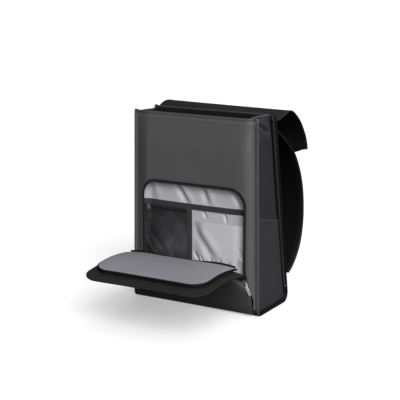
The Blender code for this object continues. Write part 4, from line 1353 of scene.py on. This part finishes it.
# Sheets of cloth, with the size each was cut to; the last number is a shaped cut's flat area
sheets = (
    ("frontPanelCloth", (0.298, 0.408), "stretched", ["edge_piping_left", "edge_piping_right"], 0.0521),
    ("baseCloth", (0.298, 0.172), "stretched", ["edge_piping_left", "edge_piping_right"], None),
    ("gussetClothLeft", (0.133, 0.415), "stretched", ["edge_piping_left"], 0.0402),
    ("gussetClothRight", (0.133, 0.415), "stretched", ["edge_piping_right"], 0.0402),
    ("sidePocketClothLeft", (0.134, 0.208), "stretched", ["gussetClothLeft"], 0.0220),
    ("sidePocketClothRight", (0.134, 0.208), "stretched", ["gussetClothRight"], 0.0220),
    ("pocketLiningCloth", (0.271, 0.263), "hung", ["frontPanelCloth"], None),
    ("elasticBandCloth", (0.2535, 0.012), "stretched", ["pocketLiningCloth"], None),
    ("meshBindingTape", (0.0125, 0.1792), "stretched", ["pocketLiningCloth"], None),
    ("meshPocketNet", (0.1085, 0.1712), "hung", ["pocketLiningCloth"], None),
    ("slipPocketCloth", (0.134, 0.161), "hung", ["pocketLiningCloth"], None),
    ("flapShellCloth", (0.300, 0.290), "hung", ["frontPanelCloth"], 0.0805),
    ("flapLiningCloth", (0.254, 0.140), "laid", ["flapShellCloth"], 0.0348),
    ("lidCloth", (0.2901, 0.2135), "folded", ["backPadCloth"], 0.0616),
    ("webbingClothLeft", (0.025, 0.030), "hung", ["baseCloth"], None),
    ("webbingClothRight", (0.025, 0.030), "hung", ["baseCloth"], None),
    ("webbingTurnLeft", (0.025, 0.0236), "folded", ["buckleBarMiddleLeft"], None),
    ("webbingTurnRight", (0.025, 0.0236), "folded", ["buckleBarMiddleRight"], None),
)
for name, flat, held, rests, cut in sheets:
    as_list(rests)

# Floor, light and camera
studio = {
    "world": 0.34, "worldLow": 0.03, "floorGlow": 0.37,
    "cameraPlace": (1.166, -2.043, 0.741), "cameraTurn": (math.radians(77.45), 0, math.radians(30.27)),
    "lens": 101.96, "sensor": 36, "floor": (0.53, 0.53, 0.53),
    # from where it shines, strength, apparent size in degrees
    "suns": (
        ("keySun", (0.59, -0.57, 0.50), 4.9, 50),
        ("topSun", (0.25, 0.35, 1.0), 1.3, 80),
    ),
}


def buildStudio():
    mesh = bpy.data.meshes.new("floor")
    mesh.from_pydata([(-30, -30, 0), (30, -30, 0), (30, 30, 0), (-30, 30, 0)], [], [(0, 1, 2, 3)])
    floor = bpy.data.objects.new("floor", mesh)
    bpy.context.scene.collection.objects.link(floor)
    paint = bpy.data.materials.new("floorPaint")
    paint.use_nodes = True
    paint.node_tree.nodes["Principled BSDF"].inputs["Base Color"].default_value = (*studio["floor"], 1)
    paint.node_tree.nodes["Principled BSDF"].inputs["Roughness"].default_value = 0.9
    paint.node_tree.nodes["Principled BSDF"].inputs["Emission Color"].default_value = (1, 1, 1, 1)
    paint.node_tree.nodes["Principled BSDF"].inputs["Emission Strength"].default_value = studio["floorGlow"]
    mesh.materials.append(paint)
    floor.visible_diffuse = False
    floor.visible_glossy = False
    world = bpy.data.worlds.new("studioAir")
    bpy.context.scene.world = world
    world.use_nodes = True
    tree = world.node_tree
    toward = tree.nodes.new("ShaderNodeTexCoord")
    parts = tree.nodes.new("ShaderNodeSeparateXYZ")
    tree.links.new(toward.outputs["Generated"], parts.inputs[0])
    above = doMath(tree, "MULTIPLY_ADD", parts.outputs[2], 6.0, 0.5, clamp=True)
    beside = doMath(tree, "MULTIPLY_ADD", parts.outputs[0], 4.0, 2.3, clamp=True)
    lit = doMath(tree, "MULTIPLY", above, beside)
    glow = doMath(tree, "MULTIPLY_ADD", lit, studio["world"] - studio["worldLow"], studio["worldLow"])
    seen = tree.nodes.new("ShaderNodeLightPath")
    glow = doMath(tree, "MAXIMUM", glow, seen.outputs["Is Camera Ray"])
    tree.nodes["Background"].inputs[0].default_value = (1, 1, 1, 1)
    tree.links.new(glow, tree.nodes["Background"].inputs[1])
    for name, toward, strength, spread in studio["suns"]:
        light = bpy.data.lights.new(name, "SUN")
        light.energy = strength
        light.angle = math.radians(spread)
        lamp = bpy.data.objects.new(name, light)
        lamp.rotation_euler = Vector(toward).to_track_quat("Z", "Y").to_euler()
        bpy.context.scene.collection.objects.link(lamp)
    lens = bpy.data.cameras.new("photoCamera")
    lens.lens = studio["lens"]
    lens.sensor_width = studio["sensor"]
    camera = bpy.data.objects.new("photoCamera", lens)
    camera.location = studio["cameraPlace"]
    camera.rotation_euler = studio["cameraTurn"]
    bpy.context.scene.collection.objects.link(camera)
    bpy.context.scene.camera = camera
    bpy.context.scene.view_settings.view_transform = "Standard"


buildStudio()
print("studio built")
